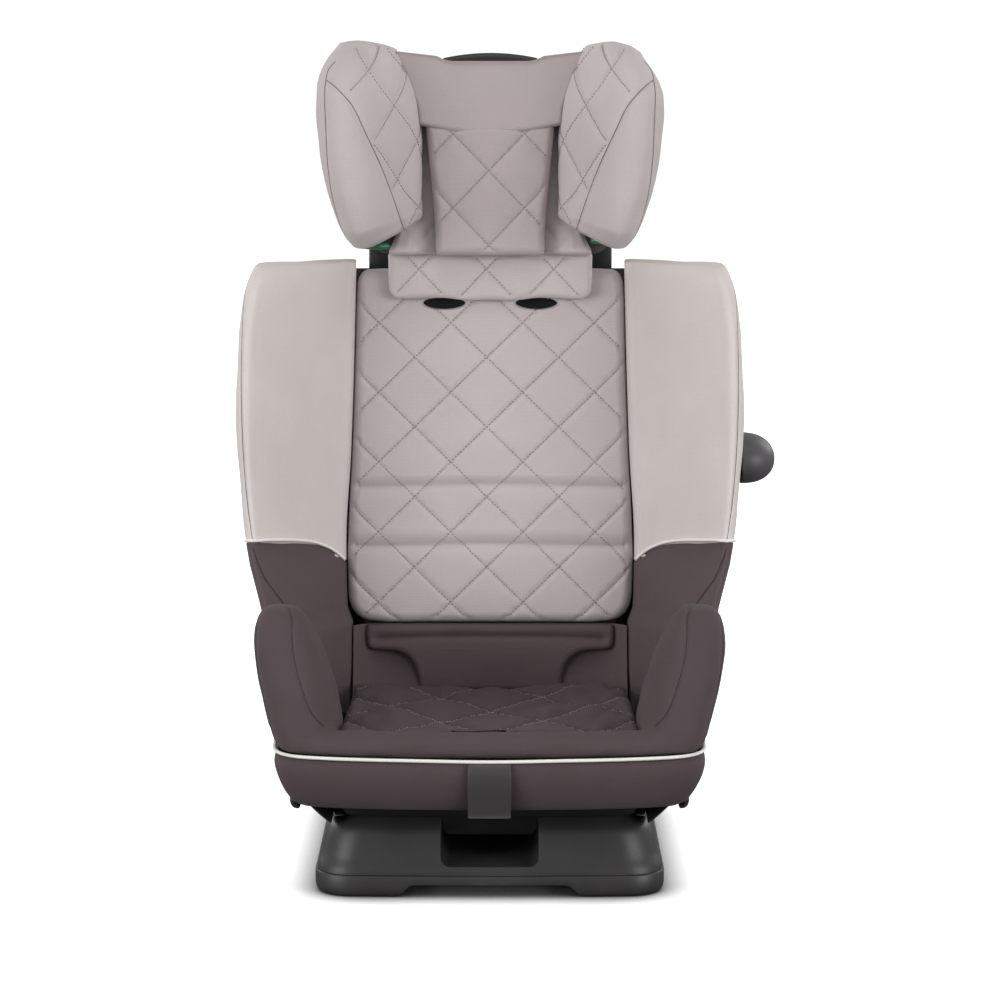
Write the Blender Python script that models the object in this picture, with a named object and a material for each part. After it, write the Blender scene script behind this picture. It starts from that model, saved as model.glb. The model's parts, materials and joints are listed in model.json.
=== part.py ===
"""Convertible child car seat: a base with arc rails, a reclining bucket and a sliding headrest.

The seat stands on the plane z = 0 and faces -Y, with +X to the right of someone who looks at its front.
The origin is the middle of the base's underside.  All sizes are in metres.
"""

import math

import bmesh
import bpy
from mathutils import Vector

# ---------------------------------------------------------------- driving dimensions
GAP = 0.0003                       # clearance between neighbouring pieces
LOFT_GAP = 0.0014                  # clearance between lofts whose stations lie at different heights

# Back line: the front of the back cushion, a plane that leans away from the occupant.
BACK_Y0 = 0.005
BACK_Z0 = 0.205
BACK_SLOPE = 0.25

# Layers of the backrest, as offsets in y behind the front of the back cushion.
CUSHION_REAR = 0.0240
FOAM_FRONT = 0.0245
FOAM_REAR = 0.0405
POST_FRONT = 0.0420
POST_REAR = 0.0580
PLATE_FRONT = 0.0600
PLATE_REAR = 0.0655

# Recline: the bucket swings on arc rails about this line, parallel to X.
RECLINE_Y = -0.020
RECLINE_Z = 0.450
ROCKER_R = 0.3985
RAIL_R = 0.4000
COVER_R = 0.4035

# Base
BASE_HALF = 0.163
BASE_FRONT = -0.190
BASE_REAR = 0.198
PLATE_TOP = 0.0200
CAVITY_HALF = 0.0455
CAVITY_FLOOR = 0.0280
CAVITY_END = -0.060

# Seat pan layers, as heights
PAN_BOTTOM = 0.1080
PAN_TOP = 0.1150
SEAT_FOAM_TOP = 0.1365
SEAT_TOP = 0.1660
PIPING_Z = 0.1487

SHELL_WALL = 0.0035
SHELL_TOP = 0.5555
COVER_SKIN = 0.0060                # the padded cover outside the side shell
SEAM_LEVEL = 0.2720                # height of the bolster seam where it meets the back line
SEAM_RISE = 0.308                  # slope of that seam, up from the back pad to the rim


# ---------------------------------------------------------------- materials
PALETTE = {
    "light_fabric": ((0.500, 0.465, 0.455), 0.90, 0.0),
    "dark_fabric": ((0.092, 0.074, 0.078), 0.90, 0.0),
    "base_plastic": ((0.046, 0.045, 0.046), 0.55, 0.0),
    "black_plastic": ((0.022, 0.021, 0.022), 0.45, 0.0),
    "piping": ((0.830, 0.790, 0.760), 0.80, 0.0),
    "webbing": ((0.040, 0.037, 0.037), 0.75, 0.0),
    "green_plastic": ((0.010, 0.250, 0.120), 0.40, 0.0),
    "red_plastic": ((0.550, 0.020, 0.020), 0.40, 0.0),
    "foam": ((0.750, 0.750, 0.740), 0.95, 0.0),
    "steel": ((0.550, 0.560, 0.580), 0.35, 1.0),
}


def palette_material(slot):
    """Return the Principled material of a palette slot, made once."""
    material = bpy.data.materials.get(slot)
    if material is None:
        colour, roughness, metallic = PALETTE[slot]
        material = bpy.data.materials.new(slot)
        material.use_nodes = True
        shader = material.node_tree.nodes["Principled BSDF"]
        shader.inputs["Base Color"].default_value = (*colour, 1.0)
        shader.inputs["Roughness"].default_value = roughness
        shader.inputs["Metallic"].default_value = metallic
    return material


# ---------------------------------------------------------------- shape helpers
def blend_table(table, value):
    """Linear interpolation in a table of (key, number) rows sorted by key."""
    if value <= table[0][0]:
        return table[0][1]
    for (low_key, low), (high_key, high) in zip(table, table[1:]):
        if value <= high_key:
            return low + (high - low) * (value - low_key) / (high_key - low_key)
    return table[-1][1]


def back_y(z):
    """y of the front of the back cushion at height z."""
    return BACK_Y0 + (z - BACK_Z0) * BACK_SLOPE


def make(name, vertices, faces, slot, origin=(0.0, 0.0, 0.0)):
    """Make an object with outward normals, its origin at the given point."""
    mesh = bpy.data.meshes.new(name)
    moved = [[v[k] - origin[k] for k in range(3)] for v in vertices]
    mesh.from_pydata(moved, [], faces)
    work = bmesh.new()
    work.from_mesh(mesh)
    bmesh.ops.recalc_face_normals(work, faces=work.faces)
    work.to_mesh(mesh)
    work.free()
    mesh.materials.append(palette_material(slot))
    item = bpy.data.objects.new(name, mesh)
    item.location = origin
    bpy.context.collection.objects.link(item)
    return item


def loft_data(rings, first=0):
    """Vertices and faces of a closed body through rings of equal length."""
    size = len(rings[0])
    vertices = [point for ring in rings for point in ring]
    faces = []
    for row in range(len(rings) - 1):
        for j in range(size):
            k = (j + 1) % size
            a, b = first + row * size, first + (row + 1) * size
            faces.append((a + j, a + k, b + k, b + j))
    last = first + (len(rings) - 1) * size
    faces.append(tuple(first + j for j in range(size)))
    faces.append(tuple(last + j for j in reversed(range(size))))
    return vertices, faces


def loft(name, rings, slot, origin=(0.0, 0.0, 0.0)):
    vertices, faces = loft_data(rings)
    return make(name, vertices, faces, slot, origin)


def prism_x(name, outline, x0, x1, slot, origin=(0.0, 0.0, 0.0)):
    """Extrude an outline of (y, z) points from x0 to x1."""
    rings = [[(x, y, z) for y, z in outline] for x in (x0, x1)]
    return loft(name, rings, slot, origin)


def prism_y(name, outline, y0, y1, slot, origin=(0.0, 0.0, 0.0)):
    """Extrude an outline of (x, z) points from y0 to y1."""
    rings = [[(x, y, z) for x, z in outline] for y in (y0, y1)]
    return loft(name, rings, slot, origin)


def box(name, low, high, slot, origin=(0.0, 0.0, 0.0)):
    corners = [(low[1], low[2]), (high[1], low[2]), (high[1], high[2]), (low[1], high[2])]
    return prism_x(name, corners, low[0], high[0], slot, origin)


def rounded_rectangle(x0, x1, y0, y1, radius, steps=4):
    """Outline with round corners, counter-clockwise from the right of the low side."""
    centres = ((x1 - radius, y0 + radius, -90), (x1 - radius, y1 - radius, 0),
               (x0 + radius, y1 - radius, 90), (x0 + radius, y0 + radius, 180))
    points = []
    for cx, cy, start in centres:
        for k in range(steps + 1):
            angle = math.radians(start + 90.0 * k / steps)
            points.append((cx + radius * math.cos(angle), cy + radius * math.sin(angle)))
    return points


def disc_rings(centre, axis, radius, depth, sides=12):
    """Two rings of a short cylinder along axis 0, 1 or 2."""
    rings = []
    first, second = [k for k in range(3) if k != axis]
    for shift in (0.0, depth):
        ring = []
        for k in range(sides):
            angle = 2.0 * math.pi * k / sides
            point = list(centre)
            point[axis] += shift
            point[first] += radius * math.cos(angle)
            point[second] += radius * math.sin(angle)
            ring.append(tuple(point))
        rings.append(ring)
    return rings


def arc_point(radius, angle):
    """(y, z) on a circle about the recline axis; angle 0 is straight down, plus is rearward."""
    return (RECLINE_Y + radius * math.sin(angle), RECLINE_Z - radius * math.cos(angle))


def arc(radius, start, end, steps):
    span = end - start
    return [arc_point(radius, start + span * k / steps) for k in range(steps + 1)]


def soften(item, width, segments=2, angle=35.0):
    """Round the sharp edges of a piece."""
    bevel = item.modifiers.new("round_edges", "BEVEL")
    bevel.width = width
    bevel.segments = segments
    bevel.limit_method = "ANGLE"
    bevel.angle_limit = math.radians(angle)
    return item


def cut(item, cutter):
    """Subtract a hidden cutter from an item."""
    cutter.hide_render = True
    cutter.display_type = "WIRE"
    boolean = item.modifiers.new("cut_" + cutter.name, "BOOLEAN")
    boolean.operation = "DIFFERENCE"
    boolean.object = cutter
    boolean.solver = "EXACT"


def lean(points, z_shift=0.0):
    """Turn (x, offset, z) rows into points that follow the leaning back line."""
    return [(x, back_y(z) + offset, z + z_shift) for x, offset, z in points]


# ---------------------------------------------------------------- shape of the bucket
OUTER_HALF = ((0.084, 0.163), (0.100, 0.174), (0.120, 0.184), (0.150, 0.1975), (0.200, 0.2110),
              (0.250, 0.2200), (0.290, 0.2270), (0.330, 0.2340), (0.390, 0.2400), (0.450, 0.2430),
              (0.500, 0.2420), (0.540, 0.2380), (0.565, 0.2310), (0.577, 0.2220))
PAD_HALF = ((0.222, 0.1330), (0.240, 0.1385), (0.300, 0.1400), (0.390, 0.1355), (0.480, 0.1330),
            (0.562, 0.1315))
RIM_OFFSET = ((0.136, -0.080), (0.200, -0.105), (0.245, -0.128), (0.290, -0.130), (0.330, -0.129),
              (0.400, -0.124), (0.450, -0.121), (0.500, -0.116), (0.540, -0.108), (0.562, -0.094),
              (0.5745, -0.070))
SHELL_FRONT = ((0.084, -0.190), (0.105, -0.220), (0.135, -0.230), (0.170, -0.230), (0.205, -0.224),
               (0.225, -0.196), (0.235, -0.155), (0.245, -0.105), (0.262, -0.092), (0.290, -0.0800),
               (0.330, -0.0750), (0.400, -0.0520), (0.450, -0.0370), (0.500, -0.0200), (0.540, -0.0020),
               (0.562, 0.0170), (0.572, 0.0400))
SHELL_REAR = ((0.084, 0.130), (0.105, 0.168), (0.130, 0.205), (0.160, 0.232), (0.200, 0.236),
              (0.260, 0.222), (0.330, 0.205), (0.400, 0.196), (0.480, 0.196), (0.560, 0.205),
              (0.600, 0.211))
REAR_TAPER_START = 0.060
REAR_TAPER = 0.040


def shell_outer_x(y, z):
    """Outer half-width of the side shell, which curves in towards the rear."""
    rear = blend_table(SHELL_REAR, z)
    t = max(0.0, (y - REAR_TAPER_START) / (rear - REAR_TAPER_START))
    return blend_table(OUTER_HALF, z) - COVER_SKIN - REAR_TAPER * t ** 2.2


# ---------------------------------------------------------------- base
def base_plate():
    """Floor plate with the feet and the shallow arch of its front edge."""
    rings = []
    for z, inset in ((0.0, 0.004), (0.005, 0.0), (PLATE_TOP - 0.001, 0.0), (PLATE_TOP, 0.001)):
        outline = rounded_rectangle(-BASE_HALF + inset, BASE_HALF - inset, BASE_FRONT + inset,
                                    BASE_REAR - inset, 0.034 - inset, steps=5)
        rings.append([(x, y, z) for x, y in outline])
    plate = loft("base_plate", rings, "base_plastic")
    arch = [(-0.083, -0.002), (0.083, -0.002), (0.083, 0.003), (0.071, 0.0115), (-0.071, 0.0115),
            (-0.083, 0.003)]
    cut(plate, prism_y("arch_cutter", arch, BASE_FRONT - 0.02, -0.130, "base_plastic"))


def cover_side_cutter(side):
    """Hollow under one side of the base cover, open below."""
    low, high = sorted((side * 0.054, side * 0.132))
    cutter = box("cover_hollow_%s" % ("right" if side > 0 else "left"), (low, -0.150, 0.010),
                 (high, 0.150, 0.130), "base_plastic")
    drum = disc_rings((-0.3, RECLINE_Y, RECLINE_Z), 0, COVER_R + 0.004, 0.6, 96)
    tool = loft("hollow_drum_%s" % ("right" if side > 0 else "left"), drum, "base_plastic")
    cut(cutter, tool)
    return cutter


def base_cover():
    """Sloped cover with a concave top that the rockers pass over, and the hand cavity in front."""
    profile = ((PLATE_TOP + GAP, 0.0015), (0.0345, 0.006), (0.052, 0.010), (0.061, 0.0135),
               (0.0686, 0.0225), (0.0760, 0.0310), (0.105, 0.0340))
    rings = []
    for z, inset in profile:
        outline = rounded_rectangle(-BASE_HALF + inset, BASE_HALF - inset, BASE_FRONT + inset,
                                    BASE_REAR - inset, 0.034, steps=5)
        rings.append([(x, y, z) for x, y in outline])
    cover = loft("base_cover", rings, "base_plastic")
    drum = disc_rings((-0.3, RECLINE_Y, RECLINE_Z), 0, COVER_R, 0.6, 96)
    cut(cover, loft("cover_drum", drum, "base_plastic"))
    cavity = rounded_rectangle(-CAVITY_HALF, CAVITY_HALF, CAVITY_FLOOR, 0.150, 0.008, steps=3)
    cut(cover, prism_y("cavity_cutter", cavity, BASE_FRONT - 0.02, CAVITY_END, "base_plastic"))
    for side in (-1, 1):
        cut(cover, cover_side_cutter(side))


def recline_rails():
    """Hardened arc rails on the cover that carry the rockers."""
    for label, side in (("left", -1), ("right", 1)):
        start, end = math.radians(-19.5), math.radians(26.5)
        outline = arc(COVER_R - GAP, start, end, 24) + arc(RAIL_R, end, start, 24)
        x0, x1 = sorted((side * 0.086, side * 0.106))
        prism_x("recline_rail_" + label, outline, x0, x1, "steel")


def recline_rack():
    """Notched steel arc behind the cavity, which the recline latch drops into."""
    start, end, pitch = math.radians(-5.0), math.radians(14.5), math.radians(1.3)
    outline = arc(COVER_R - GAP, start, end, 15)
    angle = end
    while angle - pitch > start:
        outline += [arc_point(RAIL_R, angle), arc_point(RAIL_R, angle - pitch * 0.5)]
        outline += [arc_point(RAIL_R + 0.0018, angle - pitch * 0.5)]
        outline += [arc_point(RAIL_R + 0.0018, angle - pitch)]
        angle -= pitch
    prism_x("recline_rack", outline, -0.014, 0.014, "steel")


# ---------------------------------------------------------------- recline lever
def recline_lever():
    """Squeeze bar under the front of the pan, with arms back to the latch."""
    bar = rounded_rectangle(-0.168, -0.146, 0.0700, 0.0860, 0.006, steps=3)
    prism_x("recline_lever", bar, -0.038, 0.038, "black_plastic")
    foot_angle = math.radians(12.2)
    foot_low = arc_point(ROCKER_R + 0.0008, foot_angle - 0.006)
    foot_high = arc_point(ROCKER_R + 0.0008, foot_angle + 0.006)
    outline = [(-0.1455, 0.0760), (-0.1455, 0.0860), (-0.110, 0.0980),
               (foot_high[0] + 0.004, 0.0980), foot_high, foot_low,
               (foot_low[0] - 0.006, 0.0900), (-0.106, 0.0890)]
    prism_x("recline_latch", outline, -0.010, 0.010, "steel")


# ---------------------------------------------------------------- bucket structure
def rockers():
    """Runners with arcs about the recline axis below, a heel behind, and sides that flare up to the pan."""
    start, end, flare_end = math.radians(-20.0), math.radians(32.5), math.radians(12.0)
    levels = ((0.062, 0.0, False), (0.112, 0.0, False), (0.120, 0.001, True), (0.130, 0.003, True),
              (0.142, 0.011, True), (0.150, 0.022, True), (0.1525, 0.031, True))
    heel = ((0.196, 0.133), (0.207, 0.165), (0.202, 0.235), (0.176, 0.330), (0.155, 0.350), (0.136, 0.330),
            (0.113, 0.235), (0.0950, 0.165), (0.078, 0.098))
    heel_start, low_heel = 0.045, 0.0985
    front = [(heel_start, PAN_BOTTOM - GAP), (-0.205, PAN_BOTTOM - GAP), (-0.205, 0.1020)]
    flat_heel = [(heel_start + (y - heel_start) * 0.20, low_heel + (z - low_heel) * 0.03) for y, z in heel]
    for label, side in (("left", -1), ("right", 1)):
        rings = []
        for x, lift, flared in levels:
            bottom = arc(ROCKER_R - lift, start, flare_end if flared else end, 14)
            top = flat_heel if flared else list(heel)
            rings.append([(side * x, y, z) for y, z in bottom + top + front])
        loft("rocker_" + label, rings, "black_plastic")


def seat_shell():
    """Structural plate of the pan and the back, as wide as the side shells leave it."""
    path = (((-0.245, PAN_BOTTOM), (-0.245, PAN_TOP)), ((-0.100, PAN_BOTTOM), (-0.100, PAN_TOP)),
            ((0.020, PAN_BOTTOM), (0.012, PAN_TOP)), ((0.055, 0.125), (0.040, 0.131)),
            ((0.0695, 0.165), (0.0555, 0.168)))
    rows = list(path)
    for z in (0.230, 0.300, 0.360, 0.420, 0.480, 0.530, 0.548):
        rows.append(((back_y(z) + PLATE_REAR, z), (back_y(z) + PLATE_FRONT, z)))
    lip = back_y(SHELL_TOP)
    rows.append(((lip + PLATE_REAR + 0.004, SHELL_TOP - 0.003), (lip + PLATE_FRONT + 0.003, SHELL_TOP + 0.004)))
    rows.append(((0.169, SHELL_TOP - 0.0025), (0.169, SHELL_TOP + 0.003)))
    rings = []
    for (y0, z0), (y1, z1) in rows:
        half = min(shell_outer_x(y0, z0), shell_outer_x(y1, z1)) - SHELL_WALL - 2 * GAP
        half = min(half, 0.205)
        rings.append([(-half, y0, z0), (half, y0, z0), (half, y1, z1), (-half, y1, z1)])
    shell = loft("seat_shell", rings, "black_plastic")
    for k, (x, z) in enumerate(((-0.030, 0.514), (0.030, 0.514))):
        slot = box("harness_slot_cutter_%d" % k, (x - 0.022, 0.10, z - 0.006), (x + 0.022, 0.20, z + 0.006),
                   "black_plastic")
        cut(shell, slot)


def side_shells():
    """Curved side walls of the bucket with the belt notch between armrest and bolster."""
    heights = (0.084, 0.105, 0.135, 0.152, 0.170, 0.205, 0.225, 0.235, 0.245, 0.262, 0.290, 0.330,
               0.400, 0.450, 0.500, 0.540, SHELL_TOP)
    steps = 6
    for label, side in (("left", -1), ("right", 1)):
        rings = []
        for z in heights:
            front, rear = blend_table(SHELL_FRONT, z), blend_table(SHELL_REAR, z)
            ys = [front + (rear - front) * k / steps for k in range(steps + 1)]
            outer = [(side * shell_outer_x(y, z), y, z) for y in ys]
            inner = [(side * (shell_outer_x(y, z) - SHELL_WALL), y, z) for y in reversed(ys)]
            rings.append(outer + inner)
        loft("side_shell_" + label, rings, "black_plastic")


def back_cover():
    """Moulded rear panel between the two side shells."""
    rings = []
    for z in (0.135, 0.170, 0.200, 0.260, 0.330, 0.400, 0.480, 0.510, 0.535, 0.549, SHELL_TOP):
        rear = blend_table(SHELL_REAR, z)
        half = shell_outer_x(rear, z) - SHELL_WALL - 0.0015
        tuck = max(0.0, (z - 0.520) / (SHELL_TOP - 0.520)) ** 2 * 0.024
        ring = []
        for sign, push in ((1, 0.0), (-1, -0.004)):
            for k in range(7):
                t = sign * (2.0 * k / 6 - 1.0)
                ring.append((half * t, rear - 0.004 + 0.010 * (1.0 - t * t) + push - tuck, z))
        rings.append(ring)
    loft("back_cover", rings, "black_plastic")


def shell_screws():
    """Pan-head screws that hold the back cover."""
    number = 0
    for z in (0.230, 0.510):
        rear = blend_table(SHELL_REAR, z)
        half = shell_outer_x(rear, z) - SHELL_WALL - 0.0015
        for x in (-0.120, 0.120):
            number += 1
            face = rear - 0.004 + 0.010 * (1.0 - (x / half) ** 2) + 0.0022
            loft("shell_screw_%d" % number, disc_rings((x, face, z), 1, 0.0050, 0.0025, 10), "steel")


# ---------------------------------------------------------------- foam and harness inside
def back_foam():
    """Energy-absorbing liner behind the back cushion."""
    rings = []
    for z in (0.172, 0.300, 0.420, 0.556):
        rings.append([(x, back_y(z) + o, z) for x, o in ((-0.1250, FOAM_FRONT), (0.1250, FOAM_FRONT),
                                                         (0.1250, FOAM_REAR), (-0.1250, FOAM_REAR))])
    loft("back_foam", rings, "foam")


def seat_foam():
    """Pan liner with pockets for the stowed buckle and the harness adjuster."""
    foam = box("seat_foam", (-0.130, -0.240, PAN_TOP + GAP), (0.130, -0.004, SEAT_FOAM_TOP - GAP), "foam")
    below = PAN_TOP - 0.01
    above = SEAT_FOAM_TOP + 0.01
    cut(foam, box("buckle_pocket", (-0.034, -0.172, below), (0.034, -0.092, above), "foam"))
    cut(foam, box("adjuster_pocket", (-0.024, -0.236, below), (0.024, -0.198, above), "foam"))


def stowed_harness():
    """Shoulder webbing, its yoke, and the crotch buckle put away for use as a booster."""
    for label, side in (("left", -1), ("right", 1)):
        rings = []
        for z in (0.2200, 0.3600, 0.5300):
            y = back_y(z) + FOAM_REAR + 0.0040
            x0, x1 = side * 0.0300 - 0.019, side * 0.0300 + 0.019
            rings.append([(x0, y, z), (x1, y, z), (x1, y + 0.0016, z), (x0, y + 0.0016, z)])
        loft("shoulder_strap_" + label, rings, "webbing")
    yoke = [(-0.046, 0.245), (0.046, 0.245), (0.050, 0.262), (0.050, 0.285), (-0.050, 0.285),
            (-0.050, 0.262)]
    rings = []
    for offset in (PLATE_REAR + 0.004, PLATE_REAR + 0.007):
        rings.append([(x, back_y(z) + offset, z) for x, z in yoke])
    loft("harness_yoke", rings, "steel")
    outline = rounded_rectangle(-0.025, 0.025, -0.166, -0.118, 0.009, steps=3)
    rings = [[(x, y, z) for x, y in outline] for z in (PAN_TOP + 2 * GAP, SEAT_FOAM_TOP - 3 * GAP)]
    buckle = soften(loft("crotch_buckle", rings, "black_plastic"), 0.003)
    cut(buckle, box("buckle_mouth", (-0.0155, -0.17, 0.1200), (0.0155, -0.138, 0.1320), "black_plastic"))
    box("buckle_button", (-0.0145, -0.1600, 0.1208), (0.0145, -0.1440, 0.1312), "red_plastic")


def harness_adjuster():
    """Cam adjuster at the front of the pan, with its press button and return spring."""
    low = PAN_TOP + 2 * GAP
    block = box("harness_adjuster", (-0.020, -0.232, low), (0.020, -0.203, 0.1480), "black_plastic")
    cut(block, box("adjuster_well", (-0.0150, -0.2280, 0.1360), (0.0150, -0.2070, 0.1600), "black_plastic"))
    outline = rounded_rectangle(-0.0140, 0.0140, -0.2272, -0.2078, 0.004, steps=3)
    rings = [[(x, y, z) for x, y in outline] for z in (0.1440, 0.1560)]
    soften(loft("adjuster_button", rings, "black_plastic", origin=(0.0, -0.2175, 0.1440)), 0.0012)
    turns, per_turn, radius, wire = 3, 10, 0.0045, 0.0005
    low, high = 0.1366, 0.1434
    rings = []
    for k in range(turns * per_turn + 1):
        angle = 2.0 * math.pi * k / per_turn
        z = low + (high - low) * k / (turns * per_turn)
        centre = (radius * math.cos(angle), -0.2175 + radius * math.sin(angle), z)
        ring = []
        for j in range(4):
            around = 2.0 * math.pi * j / 4
            reach = wire * math.cos(around)
            ring.append((centre[0] + reach * math.cos(angle), centre[1] + reach * math.sin(angle),
                         centre[2] + wire * math.sin(around)))
        rings.append(ring)
    loft("adjuster_spring", rings, "steel")


def adjuster_strap():
    """Free end of the adjuster webbing, down the front of the skirt and tucked under it."""
    path = ((-0.2905, 0.1445), (-0.2925, 0.1350), (-0.2905, 0.1220), (-0.2850, 0.1080), (-0.2780, 0.0965),
            (-0.2660, 0.0920), (-0.2400, 0.0950))
    rings = []
    for index, (y, z) in enumerate(path):
        before, after = path[max(index - 1, 0)], path[min(index + 1, len(path) - 1)]
        run = (after[0] - before[0], after[1] - before[1])
        length = math.hypot(*run)
        normal = (-run[1] / length * 0.0008, run[0] / length * 0.0008)
        rings.append([(-0.0180, y + normal[0], z + normal[1]), (0.0185, y + normal[0], z + normal[1]),
                      (0.0185, y - normal[0], z - normal[1]), (-0.0180, y - normal[0], z - normal[1])])
    loft("adjuster_strap", rings, "webbing")


# ---------------------------------------------------------------- cushions
def back_cushion():
    """Quilted back pad in its simple outer shape."""
    right = [(0.108, 0.222), (0.126, 0.227), (0.1345, 0.240), (0.1385, 0.270), (0.1380, 0.310),
             (0.1345, 0.390), (0.1320, 0.480), (0.1305, 0.548), (0.1270, 0.5570), (0.1180, 0.5615)]
    outline = right + [(-x, z) for x, z in reversed(right)]
    rings = [[(x * shrink, back_y(z) + o, z) for x, z in outline]
             for o, shrink in ((0.0005, 0.975), (0.0060, 1.0), (CUSHION_REAR, 1.0))]
    loft("back_cushion", rings, "light_fabric")


def lumbar_pad():
    """Lower back pad with rounded cut-outs for the hip belt at its lower corners."""
    right = [(0.070, 0.1675), (0.074, 0.180), (0.082, 0.190), (0.094, 0.1945), (0.112, 0.1960),
             (0.120, 0.203), (0.121, 0.2195)]
    outline = right + [(-x, z) for x, z in reversed(right)]
    rings = [[(x, back_y(z) + o, z) for x, z in outline] for o in (0.002, CUSHION_REAR)]
    loft("lumbar_pad", rings, "dark_fabric")


def seat_cushion():
    """Quilted seat pad with the access opening to the harness adjuster."""
    outline = rounded_rectangle(-0.1310, 0.1310, -0.2480, -0.0100, 0.020, steps=3)
    rings = []
    for z, inset in ((SEAT_FOAM_TOP, 0.0), (SEAT_TOP - 0.006, 0.0), (SEAT_TOP, 0.006)):
        scale_x, scale_y = 1.0 - inset / 0.131, 1.0 - inset / 0.119
        rings.append([(x * scale_x, -0.129 + (y + 0.129) * scale_y, z) for x, y in outline])
    pad = loft("seat_cushion", rings, "dark_fabric")
    cut(pad, box("adjuster_access", (-0.0220, -0.2340, 0.130), (0.0220, -0.2010, 0.180), "dark_fabric"))


def front_bolster():
    """Roll of padding across the front edge of the pan, above the piping."""
    profile = ((-0.2490, PIPING_Z + 0.003), (-0.2830, PIPING_Z + 0.003), (-0.2850, 0.1560), (-0.2800, 0.1640),
               (-0.2680, 0.1690), (-0.2490, 0.1690))
    rings = []
    for x in (-0.1325, -0.070, 0.0, 0.070, 0.1325):
        bow = 0.010 * (x / 0.1325) ** 2
        rings.append([(x, y + bow * (1.0 if y < -0.26 else 0.0), z) for y, z in profile])
    loft("front_bolster", rings, "dark_fabric")


def armrests():
    """Thigh pads at each side of the pan."""
    rows = ((0.1520, 0.1340, 0.1980, -0.2720, -0.1010), (0.1700, 0.1365, 0.2029, -0.2700, -0.1050),
            (0.2050, 0.1440, 0.2119, -0.2590, -0.1180), (0.2250, 0.1500, 0.2155, -0.2490, -0.1280),
            (0.2350, 0.1540, 0.2173, -0.2440, -0.1330), (0.2550, 0.1630, 0.2165, -0.2290, -0.1480),
            (0.2680, 0.1720, 0.2110, -0.2130, -0.1620), (0.2750, 0.1800, 0.2030, -0.2030, -0.1740))
    for label, side in (("left", -1), ("right", 1)):
        rings = []
        for z, x0, x1, y0, y1 in rows:
            inner_x = shell_outer_x(0.0, z) - SHELL_WALL - 2 * GAP
            wrap = 0.006
            shell_front = blend_table(SHELL_FRONT, z) - 0.0006
            crown = min(0.012, (x1 - x0) * 0.35)
            notch = min(max(shell_front, y0 + 0.008), y1 - 0.020)
            wrap_end = min(notch + 0.050, y1 - 0.014)
            ring = [(x0, y1), (x0, y0 + crown * 1.6), (x0 + crown, y0), (x1 - crown, y0 + 0.002),
                    (x1, y0 + crown + 0.004), (x1, wrap_end),
                    (x1 - wrap + GAP, wrap_end), (x1 - wrap + GAP, notch),
                    (min(inner_x, x1 - wrap - SHELL_WALL - GAP), notch),
                    (min(inner_x, x1 - wrap - SHELL_WALL - GAP), y1)]
            rings.append([(side * x, y, z) for x, y in ring])
        loft("armrest_" + label, rings, "dark_fabric")


def bolster_inner(_y, z):
    return blend_table(PAD_HALF, z) + 0.0018


def bolster_between(part):
    """x at a fraction of the way from the back pad to the bolster's outer side."""
    return lambda y, z: bolster_inner(y, z) + (blend_table(OUTER_HALF, z) - bolster_inner(y, z)) * part


def bolster_rim(shift=0.0, part=1.0):
    return lambda z: blend_table(RIM_OFFSET, z) * part + shift


def bolster_rear(z):
    return PLATE_FRONT - GAP - max(0.0, 0.220 - z) * 0.35


def bolster_notch(z):
    """Offset just in front of the side shell's edge."""
    return blend_table(SHELL_FRONT, z) - back_y(z) - LOFT_GAP


def shell_inside(y, z):
    return shell_outer_x(y, z) - SHELL_WALL - LOFT_GAP


def shell_outside(y, z):
    return shell_outer_x(y, z) + LOFT_GAP


def seam_point(level, slope, x_rule, offset_rule):
    """Point of a tilted bolster section: its height follows from its own offset."""
    z = level
    for _ in range(6):
        offset = offset_rule(z)
        z = level - slope * offset
    y = back_y(z) + offset
    return (x_rule(y, z), y, z)


def side_bolster(name, side, levels, slot, wraps, flat_level):
    """One side bolster: a wedge from the back pad to the rim.

    Its cross-sections lie along the tilted seam at one end, and are level from flat_level on.
    """
    section = [(bolster_inner, bolster_rear), (bolster_inner, lambda z: -0.002),
               (bolster_between(0.40), bolster_rim(0.0, 0.46)),
               (bolster_between(0.72), bolster_rim(0.0, 0.86))]
    if wraps:
        section += [(bolster_between(0.87), bolster_rim()), (bolster_between(0.97), bolster_rim(0.010)),
                    (bolster_between(1.0), bolster_rim(0.030)), (bolster_between(1.0), bolster_rim(0.068)),
                    (shell_outside, bolster_rim(0.068)), (shell_outside, bolster_notch),
                    (shell_inside, bolster_notch), (shell_inside, bolster_rear)]
    else:
        section += [(lambda y, z: min(bolster_between(0.85)(y, z), shell_inside(y, z) - 0.003),
                     bolster_rim(0.0, 0.98)), (shell_inside, bolster_rim(0.010)),
                    (shell_inside, bolster_rear)]
    rings = []
    for level in levels:
        tilt = max(0.0, min(1.0, (level - flat_level) / (SEAM_LEVEL - flat_level)))
        slope = SEAM_RISE * tilt
        ring = [seam_point(level, slope, x_rule, offset_rule) for x_rule, offset_rule in section]
        rings.append([(side * x, y, z) for x, y, z in ring])
    return loft(name, rings, slot)


def bolsters():
    """Light upper bolsters and dark lower ones, which meet at a sloping seam."""
    upper = (0.2740, 0.3000, 0.3300, 0.3900, 0.4500, 0.5000, 0.5400, 0.5620, 0.5685, 0.5735)
    lower = (0.1400, 0.1700, 0.2000, 0.2300, 0.2500, 0.2700)
    for label, side in (("left", -1), ("right", 1)):
        side_bolster("upper_bolster_" + label, side, upper, "light_fabric", True, 0.450)
        side_bolster("lower_bolster_" + label, side, lower, "dark_fabric", False, 0.170)


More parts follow.
